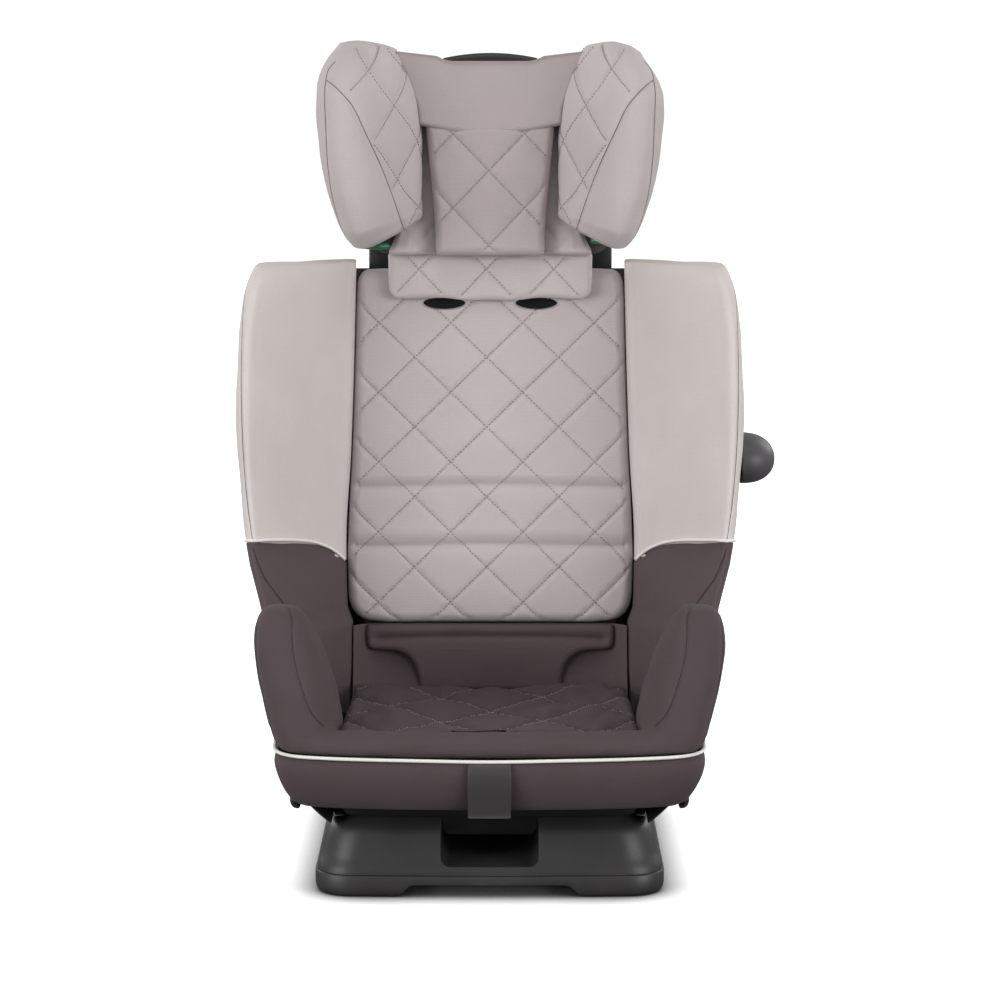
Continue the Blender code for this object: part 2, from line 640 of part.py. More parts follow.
def skirt_plan():
    """Half plan of the front skirt as (x, y) points, from the middle to the side."""
    points = [(0.0, -0.2870), (0.050, -0.2862), (0.100, -0.2835), (0.140, -0.2780)]
    for k in range(1, 5):
        angle = math.radians(90.0 * k / 4)
        points.append((0.152 + 0.044 * math.sin(angle), -0.2300 - 0.044 * math.cos(angle)))
    return points + [(0.1985, -0.180), (0.2010, -0.130)]


def sweep_plan(name, section, slot):
    """Sweep a (inset, z) section along the whole skirt plan."""
    half = skirt_plan()
    plan = [(-x, y) for x, y in reversed(half[1:])] + half
    rings = []
    for index, (x, y) in enumerate(plan):
        before, after = plan[max(index - 1, 0)], plan[min(index + 1, len(plan) - 1)]
        run = (after[0] - before[0], after[1] - before[1])
        length = math.hypot(*run)
        inward = (-run[1] / length, run[0] / length)
        rings.append([(x + inward[0] * inset, y + inward[1] * inset, z) for inset, z in section])
    return loft(name, rings, slot)


def front_skirt():
    """Lower front cover, with the piping along its upper edge."""
    section = ((0.0020, PIPING_Z - 0.0026), (0.0005, 0.1350), (0.0055, 0.1180), (0.0150, 0.1030),
               (0.0240, 0.0990), (0.0240, 0.1030), (0.0170, 0.1070), (0.0095, 0.1200), (0.0050, 0.1350),
               (0.0060, PIPING_Z - 0.0026))
    sweep_plan("front_skirt", section, "dark_fabric")
    centre_inset, radius = 0.0020, 0.0021
    round_section = []
    for k in range(6):
        angle = -2.0 * math.pi * k / 6
        round_section.append((centre_inset + radius * math.cos(angle), PIPING_Z + radius * math.sin(angle)))
    sweep_plan("front_piping", round_section, "piping")


def bolster_piping():
    """Piping along the seam between the upper and the lower bolster."""
    radius, stand_off = 0.0016, 0.0030
    route = ((bolster_inner, lambda z: -0.012), (bolster_between(0.40), bolster_rim(0.0, 0.46)),
             (bolster_between(0.72), bolster_rim(0.0, 0.86)), (bolster_between(0.87), bolster_rim()),
             (bolster_between(0.97), bolster_rim(0.010)), (bolster_between(1.0), bolster_rim(0.030)),
             (bolster_between(1.0), bolster_rim(0.060)))
    points = [seam_point(SEAM_LEVEL, SEAM_RISE, x_rule, offset_rule) for x_rule, offset_rule in route]
    for label, side in (("left", -1), ("right", 1)):
        rings = []
        for index, (x, y, z) in enumerate(points):
            before, after = points[max(index - 1, 0)], points[min(index + 1, len(points) - 1)]
            run = (after[0] - before[0], after[1] - before[1])
            length = math.hypot(*run)
            out = (run[1] / length, -run[0] / length)
            ring = []
            for k in range(6):
                angle = 2.0 * math.pi * k / 6
                reach = stand_off + radius * math.cos(angle)
                ring.append((side * (x + out[0] * reach), y + out[1] * reach, z + radius * math.sin(angle)))
            rings.append(ring)
        loft("bolster_piping_" + label, rings, "piping")


def cover_hooks():
    """Hooks that hold the edge of the cover under the shell."""
    for label, side in (("left", -1), ("right", 1)):
        outline = rounded_rectangle(-0.206, -0.192, 0.0800, 0.0930, 0.004, steps=2)
        x0, x1 = sorted((side * 0.1750, side * 0.1815))
        prism_x("cover_hook_" + label, outline, x0, x1, "black_plastic")


# ---------------------------------------------------------------- headrest
WING_OUTER = ((0.592, 0.1380), (0.605, 0.1480), (0.640, 0.1590), (0.690, 0.1665), (0.730, 0.1675),
              (0.760, 0.1610), (0.778, 0.1480), (0.7885, 0.1340))
WING_DEPTH = ((0.592, 0.78), (0.605, 0.88), (0.640, 0.98), (0.690, 1.0), (0.730, 0.97), (0.760, 0.82),
              (0.778, 0.62), (0.7885, 0.46))
WING_ROOT_X = 0.066
WING_ROOT_O = -0.0155
WING_FULL_X = 0.1675


def wing_point(x, offset, z):
    """Scale a wing section point for its height, and lean it with the back."""
    wide = (blend_table(WING_OUTER, z) - WING_ROOT_X) / (WING_FULL_X - WING_ROOT_X)
    deep = blend_table(WING_DEPTH, z)
    if x > WING_ROOT_X:
        x = WING_ROOT_X + (x - WING_ROOT_X) * wide
    if offset < WING_ROOT_O:
        offset = WING_ROOT_O + (offset - WING_ROOT_O) * deep
    return (x, back_y(z) + offset, z)


def headrest_shell():
    """U-shaped carrier behind the head pads, with the recess for the release lever."""
    rear = ((0.1560, -0.0700), (0.1500, -0.0360), (0.1290, -0.0080), (0.0900, -0.0040))
    front = ((0.0900, -0.0100), (0.1255, -0.0135), (0.1440, -0.0380), (0.1500, -0.0700))
    rings = []
    for z in (0.605, 0.640, 0.690, 0.730, 0.760):
        right = [wing_point(x, o, z) for x, o in front + rear]
        left = [(-x, y, z2) for x, y, z2 in reversed(right)]
        rings.append(right + left)
    shell = loft("headrest_shell", rings, "black_plastic")
    cut(shell, box("lever_recess", (-0.048, 0.0, 0.7500), (0.048, 0.300, 0.800), "black_plastic"))


def headrest_bracket():
    """Bridge from the headrest carrier back to the two guide posts."""
    rings = []
    for z in (0.7260, 0.7480):
        corners = ((-0.124, -0.0035), (0.124, -0.0035), (0.124, POST_REAR), (-0.124, POST_REAR))
        rings.append([(x, back_y(z) + o, z) for x, o in corners])
    soften(loft("headrest_bracket", rings, "black_plastic"), 0.003)


def headrest_posts():
    """Guide posts that run in the channels behind the back foam."""
    for label, side in (("left", -1), ("right", 1)):
        rings = []
        for z in (0.3350, 0.7257):
            low, high = sorted((side * 0.0930, side * 0.1215))
            rings.append([(low, back_y(z) + POST_FRONT, z), (high, back_y(z) + POST_FRONT, z),
                          (high, back_y(z) + POST_REAR, z), (low, back_y(z) + POST_REAR, z)])
        loft("headrest_post_" + label, rings, "black_plastic")


def headrest_lever():
    """Release lever in the recess at the top of the headrest."""
    rings = []
    for z in (0.7510, 0.7640):
        outline = rounded_rectangle(-0.0440, 0.0440, -0.0120, 0.0160, 0.006, steps=3)
        rings.append([(x, back_y(z) + o, z) for x, o in outline])
    soften(loft("headrest_lever", rings, "black_plastic", origin=(0.0, back_y(0.7510), 0.7510)), 0.002)


def head_wings():
    """Padded head wings, each wrapped round an arm of the carrier."""
    section = ((0.0665, -0.0115), (0.0690, -0.0380), (0.0860, -0.0720), (0.1060, -0.1040), (0.1300, -0.1210),
               (0.1520, -0.1160), (0.1650, -0.0960), (0.1675, -0.0740), (0.1610, -0.0480),
               (0.1540, -0.0500), (0.1570, -0.0710), (0.1490, -0.0712), (0.1430, -0.0385), (0.1248, -0.0150),
               (0.0900, -0.0115))
    for label, side in (("left", -1), ("right", 1)):
        rings = []
        for z in (0.5920, 0.6050, 0.6400, 0.6900, 0.7300, 0.7600, 0.7780, 0.7885):
            rings.append([(side * p[0], p[1], p[2]) for p in (wing_point(x, o, z) for x, o in section)])
        loft("head_wing_" + label, rings, "light_fabric")


def head_pads():
    """Quilted centre insert and the smooth panel above it."""
    rows = ((0.5815, 0.0545, -0.0350), (0.590, 0.0565, -0.0390), (0.640, 0.0590, -0.0405),
            (0.7020, 0.0640, -0.0405))
    rings = []
    for z, half, front in rows:
        corners = ((-half, -0.0110), (-half, front + 0.006), (-half + 0.006, front),
                   (half - 0.006, front), (half, front + 0.006), (half, -0.0110))
        rings.append([(x, back_y(z) + o, z) for x, o in corners])
    loft("head_pad", rings, "light_fabric")
    rows = ((0.7026, 0.0640, -0.0430), (0.7300, 0.0650, -0.0430), (0.7500, 0.0650, -0.0400),
            (0.7640, 0.0640, -0.0300))
    rings = []
    for z, half, front in rows:
        corners = ((-half, -0.0130), (-half, front), (half, front), (half, -0.0130))
        rings.append([(x, back_y(z) + o, z) for x, o in corners])
    loft("head_top_panel", rings, "light_fabric")


def neck_flap():
    """Quilted flap under the head pad, which hangs over the top of the back cushion."""
    outline = [(-0.088, 0.5335), (0.088, 0.5335), (0.0975, 0.5370), (0.1005, 0.5440), (0.1005, 0.5800),
               (-0.1005, 0.5800), (-0.1005, 0.5440), (-0.0975, 0.5370)]
    rings = [[(x, back_y(z) + o, z) for x, z in outline] for o in (-0.0130, -0.0025)]
    loft("neck_flap", rings, "light_fabric")


def belt_guides():
    """Green shoulder-belt guides under the head wings: hooks bent from one flat bar."""
    level = 0.5780
    path = ((0.1220, -0.0180), (0.1270, -0.0380), (0.1180, -0.0580), (0.1000, -0.0640), (0.0880, -0.0540))
    for label, side in (("left", -1), ("right", 1)):
        centre = [Vector((side * x, back_y(level) + o)) for x, o in path]
        outer = []
        inner = []
        for index, point in enumerate(centre):
            before = centre[max(index - 1, 0)]
            after = centre[min(index + 1, len(centre) - 1)]
            along = (after - before).normalized()
            across = Vector((along.y, -along.x)) * 0.0030
            outer.append(point + across)
            inner.append(point - across)
        plan = outer + inner[::-1]
        rings = [[(p.x, p.y, z) for p in plan] for z in (level, level + 0.0125)]
        loft("belt_guide_" + label, rings, "green_plastic")


# ---------------------------------------------------------------- side pod
POD_Y = 0.028
POD_Z = 0.383


def pod_outline(half_y, half_z, steps=16):
    points = []
    for k in range(steps):
        angle = 2.0 * math.pi * k / steps
        reach_y = math.copysign(abs(math.cos(angle)) ** 0.8, math.cos(angle))
        reach_z = math.copysign(abs(math.sin(angle)) ** 0.8, math.sin(angle))
        points.append((POD_Y + half_y * reach_y, POD_Z + half_z * reach_z))
    return points


def side_pod():
    """Clip-on side impact pod on the door side, and its socket in the shell."""
    seat_face = shell_outer_x(POD_Y, POD_Z + 0.020) + GAP
    rings = [[(x, y, z) for y, z in pod_outline(0.028 - inset, 0.0190 - inset)]
             for x, inset in ((seat_face, 0.0), (0.2455, 0.0), (0.2475, 0.002))]
    loft("pod_socket", rings, "black_plastic")
    rings = []
    for x, scale in ((0.2480, 0.96), (0.2500, 1.0), (0.2600, 1.0), (0.2690, 0.90), (0.2745, 0.70),
                     (0.2770, 0.42)):
        rings.append([(x, y, z) for y, z in pod_outline(0.042 * scale, 0.0240 * scale)])
    loft("side_pod", rings, "black_plastic", origin=(0.2480, POD_Y, POD_Z))


def main():
    for old in list(bpy.data.objects):
        bpy.data.objects.remove(old, do_unlink=True)
    base_plate()
    base_cover()
    recline_rails()
    recline_rack()
    recline_lever()
    rockers()
    seat_shell()
    side_shells()
    back_cover()
    shell_screws()
    back_foam()
    seat_foam()
    stowed_harness()
    harness_adjuster()
    adjuster_strap()
    back_cushion()
    lumbar_pad()
    seat_cushion()
    front_bolster()
    armrests()
    bolsters()
    front_skirt()
    bolster_piping()
    cover_hooks()
    headrest_shell()
    headrest_bracket()
    headrest_posts()
    headrest_lever()
    head_wings()
    head_pads()
    neck_flap()
    belt_guides()
    side_pod()


main()
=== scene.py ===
"""The looks of a convertible car seat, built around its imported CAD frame."""

import json
import math

import bmesh
import bpy
import numpy as np
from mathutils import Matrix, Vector
from mathutils.bvhtree import BVHTree
from mathutils.kdtree import KDTree

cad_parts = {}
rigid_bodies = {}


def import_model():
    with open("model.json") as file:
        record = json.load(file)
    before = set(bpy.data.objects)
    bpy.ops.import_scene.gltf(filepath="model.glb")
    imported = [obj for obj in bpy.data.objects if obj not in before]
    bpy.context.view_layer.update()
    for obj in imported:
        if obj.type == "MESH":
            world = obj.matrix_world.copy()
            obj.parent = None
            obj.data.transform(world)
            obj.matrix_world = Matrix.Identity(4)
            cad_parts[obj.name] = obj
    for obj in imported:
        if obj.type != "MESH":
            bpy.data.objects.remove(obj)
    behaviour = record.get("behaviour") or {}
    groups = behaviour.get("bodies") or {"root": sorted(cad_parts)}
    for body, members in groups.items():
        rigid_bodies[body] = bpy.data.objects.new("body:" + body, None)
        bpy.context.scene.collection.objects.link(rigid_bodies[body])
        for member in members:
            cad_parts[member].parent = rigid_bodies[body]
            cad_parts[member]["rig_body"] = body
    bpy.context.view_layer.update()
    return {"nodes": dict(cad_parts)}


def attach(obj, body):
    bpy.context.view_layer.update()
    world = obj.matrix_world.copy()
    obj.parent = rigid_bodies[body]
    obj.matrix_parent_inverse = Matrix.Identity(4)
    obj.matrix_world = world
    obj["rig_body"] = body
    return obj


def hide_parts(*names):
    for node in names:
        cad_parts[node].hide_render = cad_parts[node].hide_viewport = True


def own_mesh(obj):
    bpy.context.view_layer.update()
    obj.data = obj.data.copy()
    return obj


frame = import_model()
NODES = frame["nodes"]
SIDES = (("left", -1), ("right", 1))

# ---------------------------------------------------------------- curves


def pchip(keys, x):
    """Value at x of a smooth curve through the rows (x, value), with no overshoot."""
    keys = np.asarray(keys, float)
    xs, ys = keys[:, 0], keys[:, 1]
    x = np.clip(x, xs[0], xs[-1])
    step = np.diff(xs)
    slope = np.diff(ys) / step
    tangent = np.empty_like(ys)
    tangent[0], tangent[-1] = slope[0], slope[-1]
    product = slope[:-1] * slope[1:]
    total = slope[:-1] + slope[1:]
    total[total == 0] = 1
    tangent[1:-1] = np.where(product > 0, 2 * product / total, 0)
    i = np.clip(np.searchsorted(xs, x, "right") - 1, 0, len(step) - 1)
    t = (x - xs[i]) / step[i]
    return (
        (1 + 2 * t) * (1 - t) ** 2 * ys[i]
        + t * (1 - t) ** 2 * step[i] * tangent[i]
        + t * t * (3 - 2 * t) * ys[i + 1]
        + t * t * (t - 1) * step[i] * tangent[i + 1]
    )


def resample(points, count, closed=False):
    """count points at even spacing along a polyline."""
    p = np.asarray(points, float)
    if closed:
        p = np.vstack([p, p[:1]])
    run = np.r_[0, np.cumsum(np.linalg.norm(np.diff(p, axis=0), axis=1))]
    t = np.linspace(0, run[-1], count, endpoint=not closed)
    return np.stack([np.interp(t, run, p[:, k]) for k in range(p.shape[1])], 1)


def spline(points, count, closed=False):
    """count points at even spacing along a centripetal curve through the points."""
    p = np.asarray(points, float)
    if closed:
        p = np.vstack([p[-1], p, p[0], p[1]])
    else:
        p = np.vstack([2 * p[0] - p[1], p, 2 * p[-1] - p[-2]])
    out = []
    t = np.linspace(0, 1, 24, endpoint=False)[:, None]
    for i in range(1, len(p) - 2):
        p0, p1, p2, p3 = p[i - 1 : i + 3]
        a = math.sqrt(np.linalg.norm(p1 - p0)) or 1e-6
        b = math.sqrt(np.linalg.norm(p2 - p1)) or 1e-6
        c = math.sqrt(np.linalg.norm(p3 - p2)) or 1e-6
        m1 = p2 - p1 + b * ((p1 - p0) / a - (p2 - p0) / (a + b))
        m2 = p2 - p1 + b * ((p3 - p2) / c - (p3 - p1) / (b + c))
        out.append(
            (1 + 2 * t) * (1 - t) ** 2 * p1
            + t * (1 - t) ** 2 * m1
            + t * t * (3 - 2 * t) * p2
            + t * t * (t - 1) * m2
        )
    if not closed:
        out.append(p[-2:-1])
    return resample(np.vstack(out), count, closed)


def mirrored(points):
    """The same points with x the other way."""
    p = np.array(points, float)
    p[..., 0] *= -1
    return p


def far_from(points, line):
    """Distance from each point to the nearest of a polyline's closely spaced points."""
    tree = KDTree(len(line))
    for i, q in enumerate(line):
        tree.insert((*q, 0.0) if len(q) == 2 else q, i)
    tree.balance()
    flat = points.reshape(-1, points.shape[-1])
    if flat.shape[1] == 2:
        flat = np.c_[flat, np.zeros(len(flat))]
    found = np.array([tree.find(q)[2] for q in flat])
    return found.reshape(points.shape[:-1])


def ripple(p, wavelength, seed, waves=7):
    """A smooth unevenness from -1 to 1, the same each run."""
    rng = np.random.default_rng(seed)
    total = np.zeros(p.shape[:-1])
    for _ in range(waves):
        way = rng.normal(size=3)
        way /= np.linalg.norm(way)
        size = wavelength * rng.uniform(0.7, 1.5)
        total += np.sin(p @ way * 2 * math.pi / size + rng.uniform(0, 2 * math.pi))
    return total / waves ** 0.5 / 1.5


# ---------------------------------------------------------------- meshes


def add_object(name, verts, faces, material):
    """A plain mesh object in the scene."""
    mesh = bpy.data.meshes.new(name)
    mesh.from_pydata([tuple(v) for v in verts], [], [tuple(int(i) for i in f) for f in faces])
    mesh.materials.append(material)
    obj = bpy.data.objects.new(name, mesh)
    bpy.context.scene.collection.objects.link(obj)
    return obj


def settle(obj, body, replaces=()):
    """A piece rides on a body, and may stand for CAD nodes."""
    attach(obj, body)
    if replaces:
        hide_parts(*replaces)


def make(name, verts, faces, material, body, replaces=()):
    """A smooth mesh piece, cleaned, that rides on a body."""
    obj = add_object(name, verts, faces, material)
    mesh = obj.data
    mesh.validate()
    bm = bmesh.new()
    bm.from_mesh(mesh)
    bmesh.ops.remove_doubles(bm, verts=bm.verts, dist=1e-6)
    bmesh.ops.dissolve_degenerate(bm, edges=bm.edges, dist=1e-6)
    bmesh.ops.recalc_face_normals(bm, faces=bm.faces)
    bm.to_mesh(mesh)
    bm.free()
    mesh.shade_smooth()
    settle(obj, body, replaces)
    return obj


def quads(rows, columns, wrap=False, start=0, flip=False):
    """The faces of a grid of points stored row by row."""
    j, i = np.mgrid[0 : rows - 1, 0 : columns if wrap else columns - 1]
    a = start + j * columns + i
    b = start + j * columns + (i + 1) % columns
    f = np.stack([a, b, b + columns, a + columns], -1).reshape(-1, 4)
    return f[:, ::-1] if flip else f


def normals(p, wrap=False):
    """Unit normals of a grid of points."""
    if wrap:
        du = np.roll(p, -1, 1) - np.roll(p, 1, 1)
    else:
        du = np.gradient(p, axis=1)
    dv = np.gradient(p, axis=0)
    n = np.cross(du, dv)
    return n / np.maximum(np.linalg.norm(n, axis=-1, keepdims=True), 1e-12)


def tube_faces(rows, columns):
    """A closed tube's faces, with each end closed by one face."""
    faces = list(quads(rows, columns, wrap=True))
    faces.append(list(range(columns))[::-1])
    faces.append(list(range((rows - 1) * columns, rows * columns)))
    return faces


def make_slab(name, front, rear, material, body, replaces=()):
    """A closed piece from two grids of points of the same size, joined round their edges."""
    rows, columns = front.shape[:2]
    shift = rows * columns
    ring = (
        list(range(columns)) + [r * columns + columns - 1 for r in range(1, rows)]
        + [(rows - 1) * columns + i for i in range(columns - 2, -1, -1)]
        + [r * columns for r in range(rows - 2, 0, -1)]
    )
    faces = [*quads(rows, columns), *quads(rows, columns, start=shift, flip=True)]
    faces += [(a, b, b + shift, a + shift) for a, b in zip(ring, ring[1:] + ring[:1])]
    verts = np.vstack([front.reshape(-1, 3), rear.reshape(-1, 3)])
    return make(name, verts, faces, material, body, replaces)


def make_tube(name, rings, material, body, replaces=()):
    """A closed piece from rings of points."""
    rings = np.asarray(rings)
    faces = tube_faces(*rings.shape[:2])
    return make(name, rings.reshape(-1, 3), faces, material, body, replaces)


def capped(rings, reach=0.5, steps=5):
    """Rings with dome ends added: each end shrinks to its middle and bulges by reach metres."""
    def dome(ring, outward):
        middle = ring.mean(0)
        rows = []
        for k in range(1, steps + 1):
            angle = k / steps * math.pi / 2 * 0.97
            rows.append(middle + (ring - middle) * math.cos(angle) + outward * reach * math.sin(angle))
        return rows

    first = rings[0] - rings[1]
    last = rings[-1] - rings[-2]
    first = first.mean(0) / max(np.linalg.norm(first.mean(0)), 1e-9)
    last = last.mean(0) / max(np.linalg.norm(last.mean(0)), 1e-9)
    return np.array(dome(rings[0], first)[::-1] + list(rings) + dome(rings[-1], last))


def tube(path, radius, sides=12, flat=1.0):
    """Rings of a round or flattened tube along a path."""
    p = np.asarray(path, float)
    along = np.gradient(p, axis=0)
    along /= np.linalg.norm(along, axis=1, keepdims=True)
    side = np.cross(along, np.array([0.0, 0.0, 1.0]))
    weak = np.linalg.norm(side, axis=1) < 1e-3
    side[weak] = (1.0, 0.0, 0.0)
    side /= np.linalg.norm(side, axis=1, keepdims=True)
    up = np.cross(side, along)
    angle = np.linspace(0, 2 * math.pi, sides, endpoint=False)
    radius = np.broadcast_to(np.asarray(radius, float), (len(p),))
    return (
        p[:, None]
        + side[:, None] * (np.cos(angle)[None, :, None] * radius[:, None, None])
        + up[:, None] * (np.sin(angle)[None, :, None] * radius[:, None, None] * flat)
    )


def tree_of(obj):
    """A search tree of a mesh piece, for laying seams and thread on it."""
    mesh = obj.data
    verts = [v.co.copy() for v in mesh.vertices]
    return BVHTree.FromPolygons(verts, [tuple(p.vertices) for p in mesh.polygons])


def tree_of_grid(p, wrap=False):
    rows, columns = p.shape[:2]
    faces = [tuple(int(i) for i in f) for f in quads(rows, columns, wrap)]
    return BVHTree.FromPolygons([tuple(v) for v in p.reshape(-1, 3)], faces)


def drape(tree, points, way=(0, 1, 0), reach=0.6):
    """Where points, moved along a direction from far in front, land on the surface: points and normals."""
    way = Vector(way).normalized()
    found, normal = [], []
    for q in points:
        hit = tree.ray_cast(Vector(q) - way * reach, way)
        if hit[0] is None:
            continue
        n = hit[1] if hit[1].dot(way) < 0 else -hit[1]
        found.append(tuple(hit[0]))
        normal.append(tuple(n))
    return np.array(found), np.array(normal)


STITCH_RINGS = (
    (-0.5, 0.35, -0.9), (-0.28, 0.9, 0.0), (0.0, 1.0, 0.25), (0.28, 0.9, 0.0), (0.5, 0.35, -0.9),
)


def sew(name, runs, material, body, slot, pitch=0.0036, size=0.0024, radius=0.00055):
    """Sewing thread as short raised stitches along runs, each a pair of points and normals."""
    angle = np.linspace(0, 2 * math.pi, 6, endpoint=False)
    ring = np.stack([0 * angle, np.cos(angle), np.sin(angle)], 1)
    shape = []
    for along, wide, lift in STITCH_RINGS:
        shape.append(ring * radius * wide + np.array([along * size, 0.0, radius * (0.55 + lift)]))
    shape = np.vstack(shape)
    at, ahead, up = [], [], []
    for p, n in runs:
        if len(p) < 4:
            continue
        length = np.linalg.norm(np.diff(p, axis=0), axis=1)
        cuts = np.where(length > 0.006)[0] + 1
        for piece, piece_n in zip(np.split(p, cuts), np.split(n, cuts)):
            if len(piece) < 4:
                continue
            go = np.r_[0, np.cumsum(np.linalg.norm(np.diff(piece, axis=0), axis=1))]
            spots = np.arange(pitch, go[-1] - pitch / 2, pitch)

            def along_run(values, shift=0):
                return np.stack([np.interp(spots + shift, go, values[:, k]) for k in range(3)], 1)

            at.append(along_run(piece))
            ahead.append(along_run(piece, 0.001) - along_run(piece, -0.001))
            up.append(along_run(piece_n))
    at, ahead, up = np.vstack(at), np.vstack(ahead), np.vstack(up)
    good = np.linalg.norm(ahead, axis=1) > 1e-6
    at, ahead, up = at[good], ahead[good], up[good]
    ahead /= np.linalg.norm(ahead, axis=1, keepdims=True)
    up -= ahead * (up * ahead).sum(1, keepdims=True)
    up /= np.maximum(np.linalg.norm(up, axis=1, keepdims=True), 1e-9)
    side = np.cross(up, ahead)
    verts = (
        at[:, None]
        + shape[None, :, 0:1] * ahead[:, None]
        + shape[None, :, 1:2] * side[:, None]
        + shape[None, :, 2:3] * up[:, None]
    )
    one = tube_faces(len(STITCH_RINGS), 6)
    faces = [[i + k * len(shape) for i in f] for k in range(len(at)) for f in one]
    obj = add_object(name, verts.reshape(-1, 3), faces, material)
    obj.data.shade_smooth()
    settle(obj, body)


def lay_seam_shadow(name, lines, material, body, radius=0.0005):
    """The painted shadow line of sewn seams: thin dark cords sunk in their grooves, each along (points,
    normals).
    """
    verts, faces = [], []
    for p, n in lines:
        path = resample(p - n * radius * 0.3, max(len(p) // 2, 8))
        rings = tube(path, radius, 6)
        faces += [[int(i) + len(verts) for i in f] for f in tube_faces(len(rings), 6)]
        verts += [tuple(v) for v in rings.reshape(-1, 3)]
    return make(name, verts, faces, material, body)


# ---------------------------------------------------------------- materials


def graph(name, colour, roughness, **sockets):
    material = bpy.data.materials.new(name)
    material.use_nodes = True
    tree = material.node_tree
    shader = tree.nodes["Principled BSDF"]
    shader.inputs["Base Color"].default_value = (*colour, 1)
    shader.inputs["Roughness"].default_value = roughness
    for socket, value in sockets.items():
        shader.inputs[socket.replace("_", " ")].default_value = value
    return material, tree, shader


def add(tree, kind, inputs=None, **settings):
    node = tree.nodes.new(kind)
    for key, value in settings.items():
        setattr(node, key, value)
    for key, value in (inputs or {}).items():
        if isinstance(value, bpy.types.NodeSocket):
            tree.links.new(value, node.inputs[key])
        else:
            node.inputs[key].default_value = value
    return node


def span(tree, value, low, high, to_low, to_high):
    """A node output mapped from one range to another."""
    inputs = {"Value": value, "From Min": low, "From Max": high, "To Min": to_low, "To Max": to_high}
    return add(tree, "ShaderNodeMapRange", inputs).outputs[0]


def math_node(tree, operation, *values):
    return add(tree, "ShaderNodeMath", dict(enumerate(values)), operation=operation).outputs[0]


def blend_colours(tree, factor, low, high):
    return add(tree, "ShaderNodeMix", {6: low, 7: high, 0: factor}, data_type="RGBA").outputs[2]


def scaled(tree, colour, factor):
    return add(tree, "ShaderNodeVectorMath", {0: colour, "Scale": factor}, operation="SCALE").outputs[0]


def noise(tree, where, scale, detail):
    return add(tree, "ShaderNodeTexNoise", {"Vector": where, "Scale": scale, "Detail": detail}).outputs["Fac"]


def loops_of(tree, where, scale, randomness):
    inputs = {"Vector": where, "Scale": scale, "Randomness": randomness}
    return add(tree, "ShaderNodeTexVoronoi", inputs).outputs["Distance"]


def ribs_of(tree, where, scale, distortion, direction):
    inputs = {"Vector": where, "Scale": scale, "Distortion": distortion, "Detail": 1.0}
    return add(tree, "ShaderNodeTexWave", inputs, bands_direction=direction).outputs["Fac"]


def finish(tree, shader, bump, distance, height, colour=None, roughness=None):
    """Connect a material's relief, colour and roughness."""
    relief = add(tree, "ShaderNodeBump", {"Strength": bump, "Distance": distance, "Height": height})
    for socket, value in (("Normal", relief.outputs[0]), ("Base Color", colour), ("Roughness", roughness)):
        if value is not None:
            tree.links.new(value, shader.inputs[socket])


def linear(*rgb):
    """Linear colour from 0-255 screen values."""
    out = []
    for c in rgb:
        c /= 255
        out.append(c / 12.92 if c <= 0.04045 else ((c + 0.055) / 1.055) ** 2.4)
    return out


def shade(colour, k):
    return (*(min(1, c * k) for c in colour), 1)


def fabric(name, colour, cell=1100, contrast=0.12, bump=0.35, rough=0.86, sheen=0.25):
    """A fine knit over thin foam: tiny loops, a soft heather, painted light on ridges and painted shade in
    folds.
    """
    material, tree, shader = graph(
        name, colour, rough, Sheen_Weight=sheen, Sheen_Roughness=0.45, Specular_IOR_Level=0.25
    )
    where = add(tree, "ShaderNodeTexCoord").outputs["Object"]
    loops = loops_of(tree, where, cell, 0.55)
    fine = noise(tree, where, 1700.0, 2.0)
    rows = ribs_of(tree, where, cell / 9, 1.2, "Z")
    broad = noise(tree, where, 14.0, 4.0)
    heather = span(tree, fine, 0.3, 0.7, 0, 1)
    tone = blend_colours(tree, heather, shade(colour, 1 - contrast), shade(colour, 1 + contrast * 0.6))
    loop_dark = math_node(tree, "SUBTRACT", 1.0, span(tree, loops, 0.2, 0.75, 1.0, 0.93))
    knit = blend_colours(tree, loop_dark, tone, (0, 0, 0, 1))
    # Painted light and shade: pointiness lightens ridges and darkens folds and grooves.
    point = add(tree, "ShaderNodeNewGeometry").outputs["Pointiness"]
    ridge_light_fold_shade = span(tree, point, 0.42, 0.58, 0.84, 1.08)
    patch = span(tree, broad, 0.3, 0.7, 0.97, 1.03)
    final = scaled(tree, knit, math_node(tree, "MULTIPLY", ridge_light_fold_shade, patch))
    height = math_node(tree, "MULTIPLY", loops, -0.7)
    height = math_node(tree, "MULTIPLY_ADD", rows, 0.35, height)
    height = math_node(tree, "MULTIPLY_ADD", fine, 0.5, height)
    finish(tree, shader, bump, 0.0004, height, final, span(tree, fine, 0.2, 0.8, rough - 0.07, rough + 0.07))
    return material


def plastic(name, colour, rough=0.45, grain=2600, bump=0.18, variation=0.1):
    """Moulded plastic: a fine spark-eroded grain, uneven gloss, a painted highlight on edges and painted
    shade in hollows.
    """
    material, tree, shader = graph(name, colour, rough, Specular_IOR_Level=0.45)
    where = add(tree, "ShaderNodeTexCoord").outputs["Object"]
    pits = loops_of(tree, where, grain, 1.0)
    fine = noise(tree, where, grain * 0.4, 4.0)
    cloud = noise(tree, where, 18.0, 5.0)
    # Painted highlight and shade: pointiness lightens edges and darkens hollows.
    point = add(tree, "ShaderNodeNewGeometry").outputs["Pointiness"]
    edge = span(tree, point, 0.46, 0.6, 0.9, 1.25)
    patch = span(tree, cloud, 0.3, 0.7, 1 - variation, 1 + variation)
    final = scaled(tree, tuple(colour), math_node(tree, "MULTIPLY", edge, patch))
    height = math_node(tree, "MULTIPLY_ADD", pits, 0.6, fine)
    finish(tree, shader, bump, 0.0002, height, final, span(tree, cloud, 0.3, 0.7, rough - 0.05, rough + 0.07))
    return material


